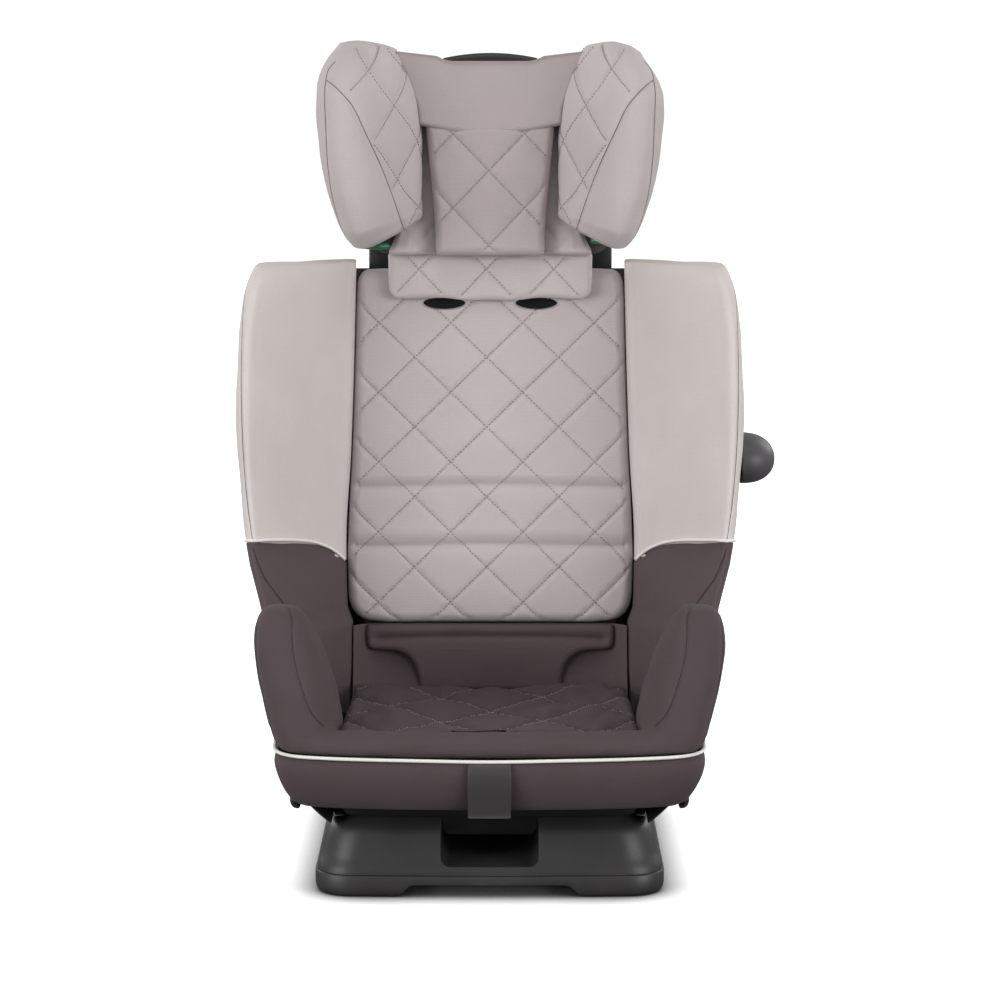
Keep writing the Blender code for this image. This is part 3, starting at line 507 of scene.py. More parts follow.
def ribbed(name, colour, rough, scale, direction, bump=0.5, sheen=0.2, contrast=0.25):
    """Yarn or webbing: even ribs with a fine cross grain."""
    material, tree, shader = graph(name, colour, rough, Sheen_Weight=sheen)
    where = add(tree, "ShaderNodeTexCoord").outputs["Object"]
    ribs = ribs_of(tree, where, scale, 0.6, direction)
    fine = noise(tree, where, 1500.0, 2.0)
    mix = blend_colours(tree, ribs, shade(colour, 1 - contrast), shade(colour, 1 + contrast * 0.5))
    final = scaled(tree, mix, span(tree, fine, 0.3, 0.7, 0.92, 1.08))
    finish(tree, shader, bump, 0.0004, math_node(tree, "MULTIPLY_ADD", fine, 0.4, ribs), final)
    return material


def brushed(name, colour, rough=0.35):
    """Zinc-plated steel with drawn lines."""
    material, tree, shader = graph(name, colour, rough, Metallic=1.0)
    where = add(tree, "ShaderNodeTexCoord").outputs["Object"]
    stretched = add(tree, "ShaderNodeMapping", {"Vector": where, "Scale": (60, 900, 900)})
    lines = noise(tree, stretched.outputs[0], 1.0, 4.0)
    gloss = span(tree, lines, 0.3, 0.7, rough - 0.1, rough + 0.12)
    streaks = blend_colours(tree, lines, shade(colour, 0.85), shade(colour, 1.1))
    finish(tree, shader, 0.15, 0.0002, lines, streaks, gloss)
    return material


LIGHT = fabric("light_knit", linear(196, 187, 187), contrast=0.05, bump=0.22, sheen=0.06)
# A brighter copy of the light knit for the bolsters: painted light that makes up for the shade on their
# inward faces.
LIGHT_LIT_COPY = fabric("light_knit_lit_copy", linear(216, 209, 206), contrast=0.05, bump=0.22, sheen=0.06)
# A darker copy of the light knit for the head pad and top panel: painted shade that tones down the light
# falling on them.
LIGHT_SHADED_COPY = fabric("light_knit_shaded_copy", linear(181, 170, 169), contrast=0.05, bump=0.22, sheen=0.06)
# Dark cords in the seam grooves: painted shadow lines.
SEAM_SHADOW_LINE = ribbed("seam_shadow", linear(118, 107, 107), 0.8, 900, "X", contrast=0.1)
BROWN_SEAM_SHADOW_LINE = ribbed("brown_seam_shadow", linear(40, 33, 35), 0.8, 900, "X", contrast=0.1)
# A brighter copy of the brown knit for the lumbar pad, rear cover and lower bolsters: painted light that
# makes up for the shade they sit in.
BROWN_LIT_COPY = fabric("brown_knit_lit_copy", linear(95, 83, 86), contrast=0.09, bump=0.3, sheen=0.04)
BROWN = fabric("brown_knit", linear(84, 73, 76), contrast=0.09, bump=0.3, sheen=0.04)
BASE_PLASTIC = plastic("base_moulding", linear(52, 50, 50), rough=0.42)
BLACK_PLASTIC = plastic("black_moulding", linear(34, 34, 36), rough=0.38)
SHELL_PLASTIC = plastic("shell_moulding", linear(40, 40, 42), rough=0.5)
PIPING = ribbed("piping_cord", linear(248, 243, 239), 0.7, 420, "X", contrast=0.08)
WEBBING = ribbed("black_webbing", linear(56, 52, 54), 0.5, 520, "Z", bump=0.2, contrast=0.12)
# Near black: the painted shade inside the harness slots and the adjuster slit.
SLOT_SHADE = ribbed("slot_lining", linear(5, 4, 5), 0.95, 400, "Z", sheen=0.0)
MESH = ribbed("dark_mesh", linear(74, 68, 70), 0.8, 300, "Z", sheen=0.0)
# Near-black plastic for the pan's fascia and webs and the recline lever: painted shade.
SHADE_PLASTIC = plastic("moulding_painted_shade", linear(18, 17, 18), rough=0.6)
GREEN = plastic("green_guide", linear(14, 98, 66), rough=0.35)
POD_PLASTIC = plastic("pod_moulding", linear(78, 76, 78), rough=0.45)
RED = plastic("red_button", linear(170, 24, 24), rough=0.35)
STEEL = brushed("plated_steel", linear(180, 180, 184))
FOAM = fabric("foam_liner", linear(70, 70, 74), cell=700, contrast=0.2, bump=0.6)
LIGHT_THREAD = ribbed("light_thread", linear(160, 149, 148), 0.75, 900, "X", contrast=0.1)
BROWN_THREAD = ribbed("brown_thread", linear(158, 141, 142), 0.75, 900, "X", contrast=0.1)

SLOT_MATERIALS = {
    "light_fabric": LIGHT,
    "dark_fabric": BROWN,
    "base_plastic": BASE_PLASTIC,
    "black_plastic": BLACK_PLASTIC,
    "piping": PIPING,
    "webbing": WEBBING,
    "green_plastic": GREEN,
    "red_plastic": RED,
    "foam": FOAM,
    "steel": STEEL,
}
for node in NODES.values():
    for held in node.material_slots:
        name = held.material.name.split(".")[0] if held.material else ""
        held.material = SLOT_MATERIALS.get(name, BLACK_PLASTIC)

# ---------------------------------------------------------------- the CAD's guiding lines


def back_y(z):
    """The back's reference line: y at a height."""
    return 0.005 + (z - 0.205) * 0.25


def on_back(x, z, o):
    """A point o metres behind the back's line."""
    return np.stack(np.broadcast_arrays(x, back_y(z) + o, z), -1)


OUTER_HALF = (
    (0.084, 0.163), (0.1, 0.174), (0.12, 0.184), (0.15, 0.1975), (0.2, 0.211), (0.25, 0.22), (0.29, 0.227),
    (0.33, 0.234), (0.39, 0.24), (0.45, 0.243), (0.5, 0.242), (0.54, 0.238), (0.565, 0.231), (0.577, 0.222),
)
PAD_HALF = ((0.222, 0.133), (0.24, 0.1385), (0.3, 0.14), (0.39, 0.1355), (0.48, 0.133), (0.562, 0.1315))
RIM_OFFSET = (
    (0.136, -0.08), (0.2, -0.105), (0.245, -0.128), (0.29, -0.13), (0.33, -0.129), (0.4, -0.124),
    (0.45, -0.121), (0.5, -0.116), (0.54, -0.108), (0.562, -0.094), (0.5745, -0.07),
)

# ---------------------------------------------------------------- stuffed panels


def edge_roll(distance, radius):
    """How far a skin has risen from its seam, 0 to 1, at a distance from the outline."""
    t = np.clip(distance / radius, 0, 1)
    return np.sqrt(1 - (1 - t) ** 2)


def outline_of(half, count=420):
    """The whole outline and its four sides, from half of it: bottom centre to top centre."""
    half = spline(half, count)
    size = half.max(0) - half.min(0)
    u = half[:, 0] / size[0]
    w = (half[:, 1] - half[:, 1].min()) / size[1] * 2 - 1
    low = int(np.argmax(u - w))
    high = int(np.argmax(u + w))
    right = half[low : high + 1]
    bottom = np.vstack([mirrored(half[: low + 1])[::-1], half[1 : low + 1]])
    top = np.vstack([mirrored(half[high:]), half[high:][::-1][1:]])
    whole = np.vstack([half, mirrored(half)[::-1]])
    return whole, (bottom, right, top, mirrored(right))


def coons(sides, columns, rows, crowd=0.45):
    """A grid of points over four sides, closer together near them."""
    def spread(n):
        t = np.linspace(0, 1, n)
        return (1 - crowd) * t + crowd * (1 - np.cos(math.pi * t)) / 2

    s, t = spread(columns), spread(rows)

    def along(side, at):
        p = resample(side, 801)
        k = at * 800
        return np.stack([np.interp(k, np.arange(801), p[:, c]) for c in range(2)], 1)

    bottom, right, top, left = (along(side, at) for side, at in zip(sides, (s, t, s, t)))
    s, t = s[None, :, None], t[:, None, None]
    return (
        (1 - t) * bottom[None] + t * top[None] + (1 - s) * left[:, None] + s * right[:, None]
        - (1 - s) * (1 - t) * bottom[0] - s * (1 - t) * bottom[-1] - (1 - s) * t * top[0] - s * t * top[-1]
    )


def pad(
    name, half, place, seam, front, rear, roll, columns, rows, relief, material, body, replaces,
    rear_roll=0.004,
):
    """A stuffed panel: a front and a rear skin that meet in a seam along its outline.

    place(a, b, o) puts a panel point in the row frame, o measured into the panel.
    front and rear are the two skins' o, as numbers or as functions of (a, b).
    relief(a, b) is how far the front skin stands out, from its sewing and its stuffing.
    """
    whole, sides = outline_of(half)
    g = coons(sides, columns, rows)
    a, b = g[..., 0], g[..., 1]
    d = far_from(g, resample(whole, 1600, closed=True))
    d[0] = d[-1] = 0
    d[:, 0] = d[:, -1] = 0
    seam_o = seam(a, b) if callable(seam) else seam
    front_o = front(a, b) if callable(front) else front
    rear_o = rear(a, b) if callable(rear) else rear
    rise = edge_roll(d, roll)
    fronts = place(a, b, seam_o + (front_o - seam_o) * rise)
    n = normals(fronts)
    middle = n[rows // 2, columns // 2]
    out = place(a[rows // 2, columns // 2], b[rows // 2, columns // 2], 0.0) - place(
        a[rows // 2, columns // 2], b[rows // 2, columns // 2], 0.01
    )
    if middle @ out < 0:
        n = -n
    lift = relief(a, b) * np.clip(d / 0.006, 0, 1)
    fronts = fronts + n * lift[..., None]
    rears = place(a, b, seam_o + (rear_o - seam_o) * edge_roll(d, rear_roll))
    verts = np.vstack([fronts.reshape(-1, 3), rears.reshape(-1, 3)])
    faces = np.vstack([quads(rows, columns), quads(rows, columns, start=rows * columns, flip=True)])
    obj = make(name, verts, faces, material, body, replaces)
    return obj, whole


def quilt(a, b, origin, width, height):
    """Distances to the two families of lines of a diamond quilt, and places along them."""
    u = (a - origin[0]) / width + (b - origin[1]) / height
    v = (a - origin[0]) / width - (b - origin[1]) / height
    scale = 1 / math.hypot(1 / width, 1 / height)
    along = math.hypot(width, height) / 2
    return np.abs(u - np.round(u)) * scale, np.abs(v - np.round(v)) * scale, v * along, u * along


def sewn(d, depth, width):
    """The dip that a line of sewing pulls into a stuffed skin."""
    return -depth * np.exp(-np.sqrt(d * d + 0.0004 ** 2) / width)


def quilted(a, b, origin, width, height, depth=0.0019, fall=0.003, pucker=0.0003, crown=0.0012):
    """The relief of a diamond quilt, with its puckers."""
    du, dv, su, sv = quilt(a, b, origin, width, height)
    near = np.minimum(du, dv)
    h = np.minimum(sewn(du, depth, fall), sewn(dv, depth, fall))
    h = h + crown * (1 - np.exp(-near / 0.013))
    h = h + pucker * np.sin(su * 2 * math.pi / 0.0125) * np.exp(-du / 0.0045)
    return h + pucker * np.sin(sv * 2 * math.pi / 0.0117 + 1) * np.exp(-dv / 0.0045)


def quilt_runs(whole, origin, width, height, margin, step=0.0015):
    """The quilt's lines inside an outline, as runs of panel points."""
    low, high = whole.min(0), whole.max(0)
    span = np.linalg.norm(high - low)
    edge = resample(whole, 900, closed=True)
    tree = KDTree(len(edge))
    for i, q in enumerate(edge):
        tree.insert((q[0], q[1], 0), i)
    tree.balance()

    def inside(q):
        return tree.find((q[0], q[1], 0))[2] >= margin and crossing(q, edge)

    runs = []
    reach = int(span / min(width, height)) + 3
    for sign in (1, -1):
        way = np.array([width, -sign * height]) / math.hypot(width, height)
        for k in range(-reach, reach + 1):
            start = np.array([origin[0] + k * width, origin[1]])
            ts = np.arange(-span * 1.5, span * 1.5, step)
            line = start + ts[:, None] * way
            ok = (line > low).all(1) & (line < high).all(1)
            run = []
            for q in line[ok]:
                if inside(q):
                    run.append(q)
                elif run:
                    if len(run) > 6:
                        runs.append(np.array(run))
                    run = []
            if len(run) > 6:
                runs.append(np.array(run))
    return runs


def quilt_thread(
    name, piece, outline, pattern, margin, start, material, body, slot, way=(0, 1, 0), reach=0.6, **size
):
    """Thread along a quilt's lines, laid on the piece; start(a, b) is where a point of a line comes from."""
    skin = tree_of(piece)
    runs = quilt_runs(outline, *pattern, margin=margin)
    sew(name, [drape(skin, start(r[:, 0], r[:, 1]), way, reach) for r in runs], material, body, slot, **size)


def crossing(q, edge):
    """Whether a point is inside a closed polyline."""
    x, y = edge[:, 0] - q[0], edge[:, 1] - q[1]
    x2, y2 = np.roll(x, -1), np.roll(y, -1)
    hit = (y > 0) != (y2 > 0)
    with np.errstate(divide="ignore", invalid="ignore"):
        at = x - y * (x2 - x) / (y2 - y)
    return bool(np.count_nonzero(hit & (at > 0)) % 2)


# The back cushion: light, quilted in diamonds, with two deep channels across its lower half.
BACK_QUILT = ((-0.0035, 0.4768), 0.0708, 0.0671)
CHANNELS = (0.3545, 0.2975)
SLOT_X, SLOT_Z = 0.0455, 0.5295
SLOT_LONG, SLOT_HIGH = 0.0205, 0.0058
BACK_HALF = (
    (0.0, 0.2215), (0.06, 0.2216), (0.108, 0.222), (0.127, 0.226), (0.1368, 0.238), (0.1402, 0.27),
    (0.1398, 0.31), (0.1363, 0.39), (0.1338, 0.48), (0.1325, 0.54), (0.1305, 0.553), (0.124, 0.5605),
    (0.113, 0.5618), (0.06, 0.562), (0.0, 0.562),
)


def back_relief(a, b):
    h = quilted(a, b, *BACK_QUILT)
    for z in CHANNELS:
        sag = 0.001 * np.cos(a / 0.13 * math.pi)
        h = np.minimum(h, sewn(np.abs(b - z - sag), 0.006, 0.0048))
        h = h + 0.0012 * np.exp(-(((b - z - 0.012) / 0.008) ** 2))
    inside = ((np.abs(a) - SLOT_X) / SLOT_LONG) ** 2 + ((b - SLOT_Z) / SLOT_HIGH) ** 2
    h = h - 0.0055 * np.clip(1.25 - inside, 0, 1) ** 0.5
    p = np.stack([a, b, 0 * a], -1)
    return h + 0.0005 * ripple(p, 0.07, 3) - 0.0004


back_cushion, back_outline = pad(
    "back_cushion", BACK_HALF, on_back, 0.016, 0.0015, 0.0235, 0.0115,
    190, 260, back_relief, LIGHT, "seat", ("back_cushion",),
)
quilt_thread(
    "back_cushion_thread", back_cushion, back_outline, BACK_QUILT, 0.006, lambda a, b: on_back(a, b, 0.0),
    LIGHT_THREAD, "seat", "light_fabric",
)


def harness_slot(label, side):
    """The painted shade seen through a harness slot: a near-black shallow almond under the neck flap."""
    rings = []
    for share in (1.0, 0.96, 0.8, 0.55, 0.25, 0.04):
        angle = np.linspace(0, 2 * math.pi, 72, endpoint=False)
        x = side * SLOT_X + SLOT_LONG * share * np.cos(angle)
        z = SLOT_Z + SLOT_HIGH * share * np.sign(np.sin(angle)) * np.abs(np.sin(angle)) ** 1.25
        rings.append(on_back(x, z, 0.004 + 0.0018 * (1 - share ** 2)))
    rings.insert(0, rings[0] + np.array([0, 0.004, 0]))
    slot = make_tube("harness_slot_" + label, rings, SLOT_SHADE, "seat")


for label, side in SIDES:
    harness_slot(label, side)

# ---------------------------------------------------------------- headrest

WING_OUTER = (
    (0.588, 0.133), (0.597, 0.14), (0.61, 0.147), (0.625, 0.1525), (0.64, 0.1575), (0.655, 0.161),
    (0.69, 0.1668), (0.72, 0.169), (0.745, 0.1688), (0.762, 0.1655), (0.775, 0.1595), (0.786, 0.1485),
)
WING_DEPTH = (
    (0.588, 0.72), (0.605, 0.88), (0.64, 0.98), (0.69, 1.0), (0.73, 0.98), (0.76, 0.86), (0.775, 0.72),
    (0.786, 0.55),
)
WING_ROOT = (
    (0.588, 0.066), (0.7, 0.066), (0.728, 0.069), (0.752, 0.075), (0.763, 0.079), (0.774, 0.084),
    (0.786, 0.092),
)
WING_ROOT_X = 0.066
WING_ROOT_O = -0.0155
WING_FULL = 0.1675
WING_SECTION = (
    (0.09, -0.0125), (0.07, -0.0135), (0.0672, -0.02), (0.069, -0.038), (0.076, -0.055), (0.086, -0.072),
    (0.0965, -0.089), (0.108, -0.105), (0.121, -0.1165), (0.136, -0.1215), (0.15, -0.1185), (0.16, -0.108),
    (0.1655, -0.093), (0.1675, -0.074), (0.1655, -0.058), (0.1605, -0.049), (0.1555, -0.052),
    (0.1545, -0.07), (0.15, -0.0745), (0.144, -0.06), (0.14, -0.04), (0.1248, -0.016),
)
WING_LOW, WING_HIGH = 0.588, 0.198
WING_DOMES = {"left": (5.0, 0.122, 0.0005), "right": (9.0, 0.108, 0.003)}
WING_QUILT = ((0.052, 0.689), 0.078, 0.072)


def wing_at(section, z, dome):
    """A wing's section at heights z, leaning with the back, with a dome at its top."""
    x, o = section[:, 0], section[:, 1]
    wide = (pchip(WING_OUTER, z) - WING_ROOT_X) / (WING_FULL - WING_ROOT_X)
    deep = pchip(WING_DEPTH, z)
    x = WING_ROOT_X + (x - WING_ROOT_X) * wide
    fade = np.clip((0.15 - x) / 0.084, 0, 1)
    x = x + (pchip(WING_ROOT, z) - WING_ROOT_X) * fade
    o = np.where(o < WING_ROOT_O, WING_ROOT_O + (o - WING_ROOT_O) * deep, o)
    fall = 0.16 * np.clip(0.15 - x, 0, 1) + dome[0] * np.clip(x - dome[1], 0, 0.06) ** 2 - dome[2]
    drop = fall * np.clip((z - 0.7) / 0.083, 0, 1) ** 1.5
    rise = 0.5 * np.clip((0.645 - z) / 0.057, 0, 1) ** 1.6 * np.clip(0.124 - x, 0, 1)
    zz = z - drop + rise
    return np.stack([x, back_y(zz) + o, zz], -1)


SEAM_FRONT = (
    (0.1578, 0.748), (0.152, 0.7445), (0.1448, 0.7384), (0.1321, 0.7242), (0.1197, 0.699), (0.1054, 0.6677),
    (0.0947, 0.639), (0.086, 0.612), (0.0835, 0.603),
)
EDGE_FRONT = (
    (0.15, 0.766), (0.1562, 0.758), (0.159, 0.742), (0.1575, 0.7), (0.156, 0.67), (0.1508, 0.6335),
    (0.14, 0.598), (0.133, 0.59),
)


def front_line(points, count):
    """Points (x, z) as a smooth line in the plane y = 0."""
    p = spline(points, count)
    return np.stack([p[:, 0], 0 * p[:, 0], p[:, 1]], 1)


def head_wing(label, side):
    """A wing of the headrest: a stuffed hollow curve with quilting on its inner face."""
    rows, columns = 150, 260
    section = spline(WING_SECTION, columns, closed=True)
    t = np.linspace(0, 1, rows)
    heights = WING_LOW + WING_HIGH * (0.75 * t + 0.25 * (1 - np.cos(math.pi * t)) / 2)
    dome = WING_DOMES[label]
    rings = np.array([wing_at(section, np.full(columns, z), dome) for z in heights])
    n = normals(rings, wrap=True)
    middle = rings.mean((0, 1))
    if ((rings - middle) * n).sum() < 0:
        n = -n
    base = tree_of_grid(rings, wrap=True)
    seam, _ = drape(base, front_line(SEAM_FRONT, 220))
    edge, _ = drape(base, front_line(EDGE_FRONT, 220))
    arc = np.r_[0, np.cumsum(np.linalg.norm(np.diff(section, axis=0), axis=1))]
    s = np.broadcast_to(arc, rings.shape[:2])
    zz = rings[..., 2]
    seam_x = pchip(sorted((z, x) for x, z in SEAM_FRONT), zz)
    front = np.clip((0.155 - s) / 0.02, 0, 1)
    inner = np.clip((seam_x - rings[..., 0]) / 0.006, 0, 1) * front
    inner = np.where(zz > 0.748, np.clip((0.157 - rings[..., 0]) / 0.006, 0, 1) * front, inner)
    h = quilted(s, zz, *WING_QUILT, depth=0.0016, fall=0.0028, crown=0.0009) * inner
    h = h + sewn(far_from(rings, seam), 0.0026, 0.0028)
    h = h + sewn(far_from(rings, edge), 0.0015, 0.0016)
    h = h + 0.0007 * ripple(rings, 0.055, 11) - 0.0003
    final = rings + n * h[..., None]
    closed = capped(final, reach=0.0062, steps=9)
    if side < 0:
        closed = mirrored(closed)
    wing = make_tube("head_wing_" + label, closed, LIGHT, "headrest", ("head_wing_" + label,))
    lines = []
    t = np.linspace(0.584, 0.79, 260)
    for sign in (1, -1):
        for k in range(-4, 6):
            u = WING_QUILT[0][0] + WING_QUILT[1] * (k - sign * (t - WING_QUILT[0][1]) / WING_QUILT[2])
            ok = (u > 0.02) & (u < 0.155)
            if ok.sum() < 8:
                continue
            ci = np.interp(u[ok], arc, np.arange(columns))
            ri = np.interp(t[ok], heights, np.arange(rows))
            run, way = grid_points(final, n, ri, ci)
            limit = pchip(sorted((z, x) for x, z in SEAM_FRONT), run[:, 2]) - 0.002
            keep = run[:, 0] < np.where(run[:, 2] > 0.748, 0.1555, limit)
            if side < 0:
                run, way = mirrored(run), mirrored(way)
            lines += split_runs(run, way, keep)
    sew("head_wing_thread_" + label, lines, LIGHT_THREAD, "headrest", "light_fabric")
    flip = np.array([side, 1, 1])
    skin = tree_of(wing)
    laid = [drape(skin, front_line(line, 260) * flip) for line in (SEAM_FRONT, EDGE_FRONT)]
    lay_seam_shadow("head_wing_seam_" + label, laid, SEAM_SHADOW_LINE, "headrest")


def grid_points(p, n, ri, ci):
    """Points and normals of a grid at fractional rows and columns."""
    r0 = np.clip(ri.astype(int), 0, len(p) - 2)
    c0 = np.clip(ci.astype(int), 0, p.shape[1] - 2)
    fr, fc = (ri - r0)[:, None], (ci - c0)[:, None]

    def mix(g):
        left = g[r0, c0] * (1 - fr) + g[r0 + 1, c0] * fr
        right = g[r0, c0 + 1] * (1 - fr) + g[r0 + 1, c0 + 1] * fr
        return left * (1 - fc) + right * fc

    way = mix(n)
    return mix(p), way / np.linalg.norm(way, axis=1, keepdims=True)


def split_runs(run, way, keep):
    """The stretches of a run where keep holds."""
    out, start = [], None
    for i, ok in enumerate(list(keep) + [False]):
        if ok and start is None:
            start = i
        if not ok and start is not None:
            if i - start > 4:
                out.append((run[start:i], way[start:i]))
            start = None
    return out


for label, side in SIDES:
    head_wing(label, side)

# The centre insert, quilted in wide diamonds between narrow shadow gaps.
HEAD_QUILT = ((-0.0015, 0.66), 0.07, 0.072)
HEAD_HALF = (
    (0.0, 0.5775), (0.035, 0.5776), (0.05, 0.578), (0.0528, 0.581), (0.0535, 0.595), (0.056, 0.63),
    (0.06, 0.67), (0.0628, 0.701), (0.0625, 0.704), (0.06, 0.705), (0.035, 0.7052), (0.0, 0.7052),
)


def head_relief(a, b):
    h = quilted(a, b, *HEAD_QUILT, depth=0.0018, fall=0.003)
    return h + 0.0004 * ripple(np.stack([a, b, 0 * a], -1), 0.06, 5)


head_pad, head_outline = pad(
    "head_pad", HEAD_HALF, on_back, -0.03, lambda a, b: -0.0395 - 0.0015 * np.cos(a / 0.06 * math.pi / 2),
    -0.017, 0.009, 110, 130, head_relief, LIGHT_SHADED_COPY, "headrest", ("head_pad",),
    rear_roll=0.002,
)
quilt_thread(
    "head_pad_thread", head_pad, head_outline, HEAD_QUILT, 0.004, lambda a, b: on_back(a, b, -0.04),
    LIGHT_THREAD, "headrest", "light_fabric",
)

# The smooth panel above it: a sagging lower seam, a dished upper edge.
TOP_SIDE = ((0.703, 0.0715), (0.72, 0.0735), (0.74, 0.08), (0.755, 0.085), (0.766, 0.09), (0.776, 0.093))


def top_panel():
    """The headrest's top panel, from two grids of points."""
    columns, rows = 150, 60
    s = np.linspace(-1, 1, columns)[None, :]
    t = np.linspace(0, 1, rows)[:, None]
    low = 0.6955 + 0.0085 * np.abs(s) ** 2
    step = 0.0032 * np.clip((np.abs(s) - 0.42) / 0.15, 0, 1) ** 2
    high = 0.7662 + step + 0.0065 * np.clip((np.abs(s) - 0.4) / 0.6, 0, 1)
    z = low + (high - low) * t
    bottom, top = TOP_SIDE[0][0], TOP_SIDE[-1][0]
    half = pchip(TOP_SIDE, bottom + (top - bottom) * t)
    x = s * half
    edge = np.minimum((1 - np.abs(s)) * half, np.minimum((z - low), (high - z)))
    rise = edge_roll(np.maximum(edge, 0), 0.006)
    full = -0.044 + 0.003 * (1 - s ** 2) + 0.012 * t ** 3
    o = -0.034 + (full + 0.034) * rise
    front = on_back(x, z, o)
    front[..., 1] -= 0.0004 * ripple(front, 0.05, 21) * rise
    rear = on_back(x, z, np.broadcast_to(-0.0175, x.shape))
    panel = make_slab(
        "head_top_panel", front, rear, LIGHT_SHADED_COPY, "headrest", ("head_top_panel",)
    )


top_panel()

# The fabric between the wings, seen beside and under the centre insert.
LINER_HALF = (
    (0.0, 0.5772), (0.06, 0.5772), (0.097, 0.5774), (0.1, 0.58), (0.096, 0.59), (0.09, 0.608),
    (0.085, 0.64), (0.088, 0.7), (0.09, 0.75), (0.088, 0.759), (0.06, 0.76), (0.0, 0.76),
)
liner, _ = pad(
    "head_liner", LINER_HALF, on_back, -0.0125,
    lambda a, b: -0.016 * (1 + np.clip((np.abs(a) - 0.05) / 0.03, 0, 1) * np.clip((0.625 - b) / 0.04, 0, 1)),
    -0.011, 0.006, 120, 110,
    lambda a, b: quilted(a, b, *HEAD_QUILT, depth=0.0012, fall=0.003, crown=0.0005),
    LIGHT, "headrest", (), rear_roll=0.001,
)

# The neck flap, which hangs over the harness slots.
FLAP_QUILT = ((-0.0038, 0.5634), 0.0663, 0.069)
FLAP_HALF = (
    (0.0, 0.533), (0.018, 0.5325), (0.03, 0.5332), (0.046, 0.535), (0.066, 0.5345), (0.084, 0.534),
    (0.093, 0.535), (0.0985, 0.5405), (0.1, 0.55), (0.1005, 0.57), (0.1005, 0.577), (0.099, 0.579),
    (0.07, 0.5793), (0.0, 0.5793),
)
neck_flap, flap_outline = pad(
    "neck_flap", FLAP_HALF, on_back, -0.0065, -0.0138, -0.003, 0.009, 170, 60,
    lambda a, b: quilted(a, b, *FLAP_QUILT, depth=0.0018, fall=0.003)
    + 0.0009 * ripple(np.stack([a, b, 0 * a], -1), 0.05, 8),
    LIGHT, "headrest", ("neck_flap",), rear_roll=0.003,
)
quilt_thread(
    "neck_flap_thread", neck_flap, flap_outline, FLAP_QUILT, 0.003, lambda a, b: on_back(a, b, -0.02),
    LIGHT_THREAD, "headrest", "light_fabric",
)

# ---------------------------------------------------------------- side bolsters

SEAM_LEVEL = 0.2806
# How far the seam between the bolsters has climbed at a distance in front of the back line.
SEAM_CLIMB = (
    (0.0, 0.0), (0.0054, 0.0058), (0.0235, 0.0168), (0.0374, 0.0221), (0.0518, 0.0265), (0.0705, 0.0306),
    (0.0848, 0.0331), (0.1074, 0.0363), (0.1239, 0.0385), (0.132, 0.0388),
)
# Each row: share of the way to the outer side, share of the rim's offset, then metres added to it.
BOLSTER_FACE = (
    (0.0, 0.0, 0.008), (0.02, 0.02, 0.0), (0.1, 0.1, 0.0), (0.22, 0.24, 0.0), (0.38, 0.445, 0.0),
    (0.55, 0.665, 0.0), (0.7, 0.845, 0.0), (0.8, 0.945, 0.0), (0.88, 1.0, 0.0), (0.94, 1.01, 0.003),
    (0.98, 0.98, 0.01), (1.0, 0.93, 0.022), (1.0, 0.98, 0.05), (1.0, 1.0, 0.067),
)
BOLSTER_BACK = (
    (0.955, 1.0, 0.068), (0.9, 0.98, 0.05), (0.86, 0.8, 0.03), (0.62, 0.5, 0.03), (0.3, 0.15, 0.04),
    (0.02, 0.0, 0.045),
)


def bolster_inner(z):
    return pchip(PAD_HALF, z) + 0.0012


def bolster_point(rules, level, tilt):
    """Section points at one level; each point's height follows from its own offset."""
    z = np.full(len(rules), float(level))
    for _ in range(8):
        o = rules[:, 1] * pchip(RIM_OFFSET, z) + rules[:, 2]
        edge_drop = 0.15 * np.clip(rules[:, 2] - 0.003, 0, None) * (rules[:, 0] > 0.9)
        z = level + tilt * (pchip(SEAM_CLIMB, -o) - edge_drop)
    inner = bolster_inner(z)
    lower = rules[:, 0].max() < 0.99
    share = rules[:, 0] * (1 + BELLY * np.clip((z - 0.25) / 0.045, 0, 1) * lower * rules[:, 0])
    x = inner + (pchip(OUTER_HALF, z) - inner) * share
    return np.stack([x, back_y(z) + o, z], -1)


def bolster(name, side, levels, flat_level, face, back, material, reach, seams=()):
    columns_face, columns_back = 210, 50
    rules = np.vstack([spline(face, columns_face), spline(back, columns_back)])
    rings = []
    for level in levels:
        tilt = max(0.0, min(1.0, (level - flat_level) / (SEAM_LEVEL - flat_level)))
        rings.append(bolster_point(rules, level, tilt))
    rings = np.array(rings)
    n = normals(rings, wrap=True)
    n[:, columns_face:] = 0
    if n[len(n) // 2, columns_face // 2][1] > 0:
        n = -n
    ease = np.clip(np.minimum(np.arange(columns_face), np.arange(columns_face)[::-1]) / 14, 0, 1)
    ease = np.r_[ease, np.zeros(columns_back)]
    belly = np.sin(np.linspace(0, math.pi, len(levels)))[:, None] ** 0.5
    h = (0.0012 * ripple(rings, 0.12, 31) + 0.0004 * ripple(rings, 0.035, 32)) * ease * belly
    if seams:
        base = tree_of_grid(rings, wrap=True)
        for line in seams:
            laid, _ = drape(base, front_line(line, 300))
            h = h + sewn(far_from(rings, laid), 0.0022, 0.0018) * ease
    final = rings + n * h[..., None]
    closed = capped(final, reach=reach, steps=6)
    if side < 0:
        closed = mirrored(closed)
    return make_tube(name, closed, material, "seat", (name,))


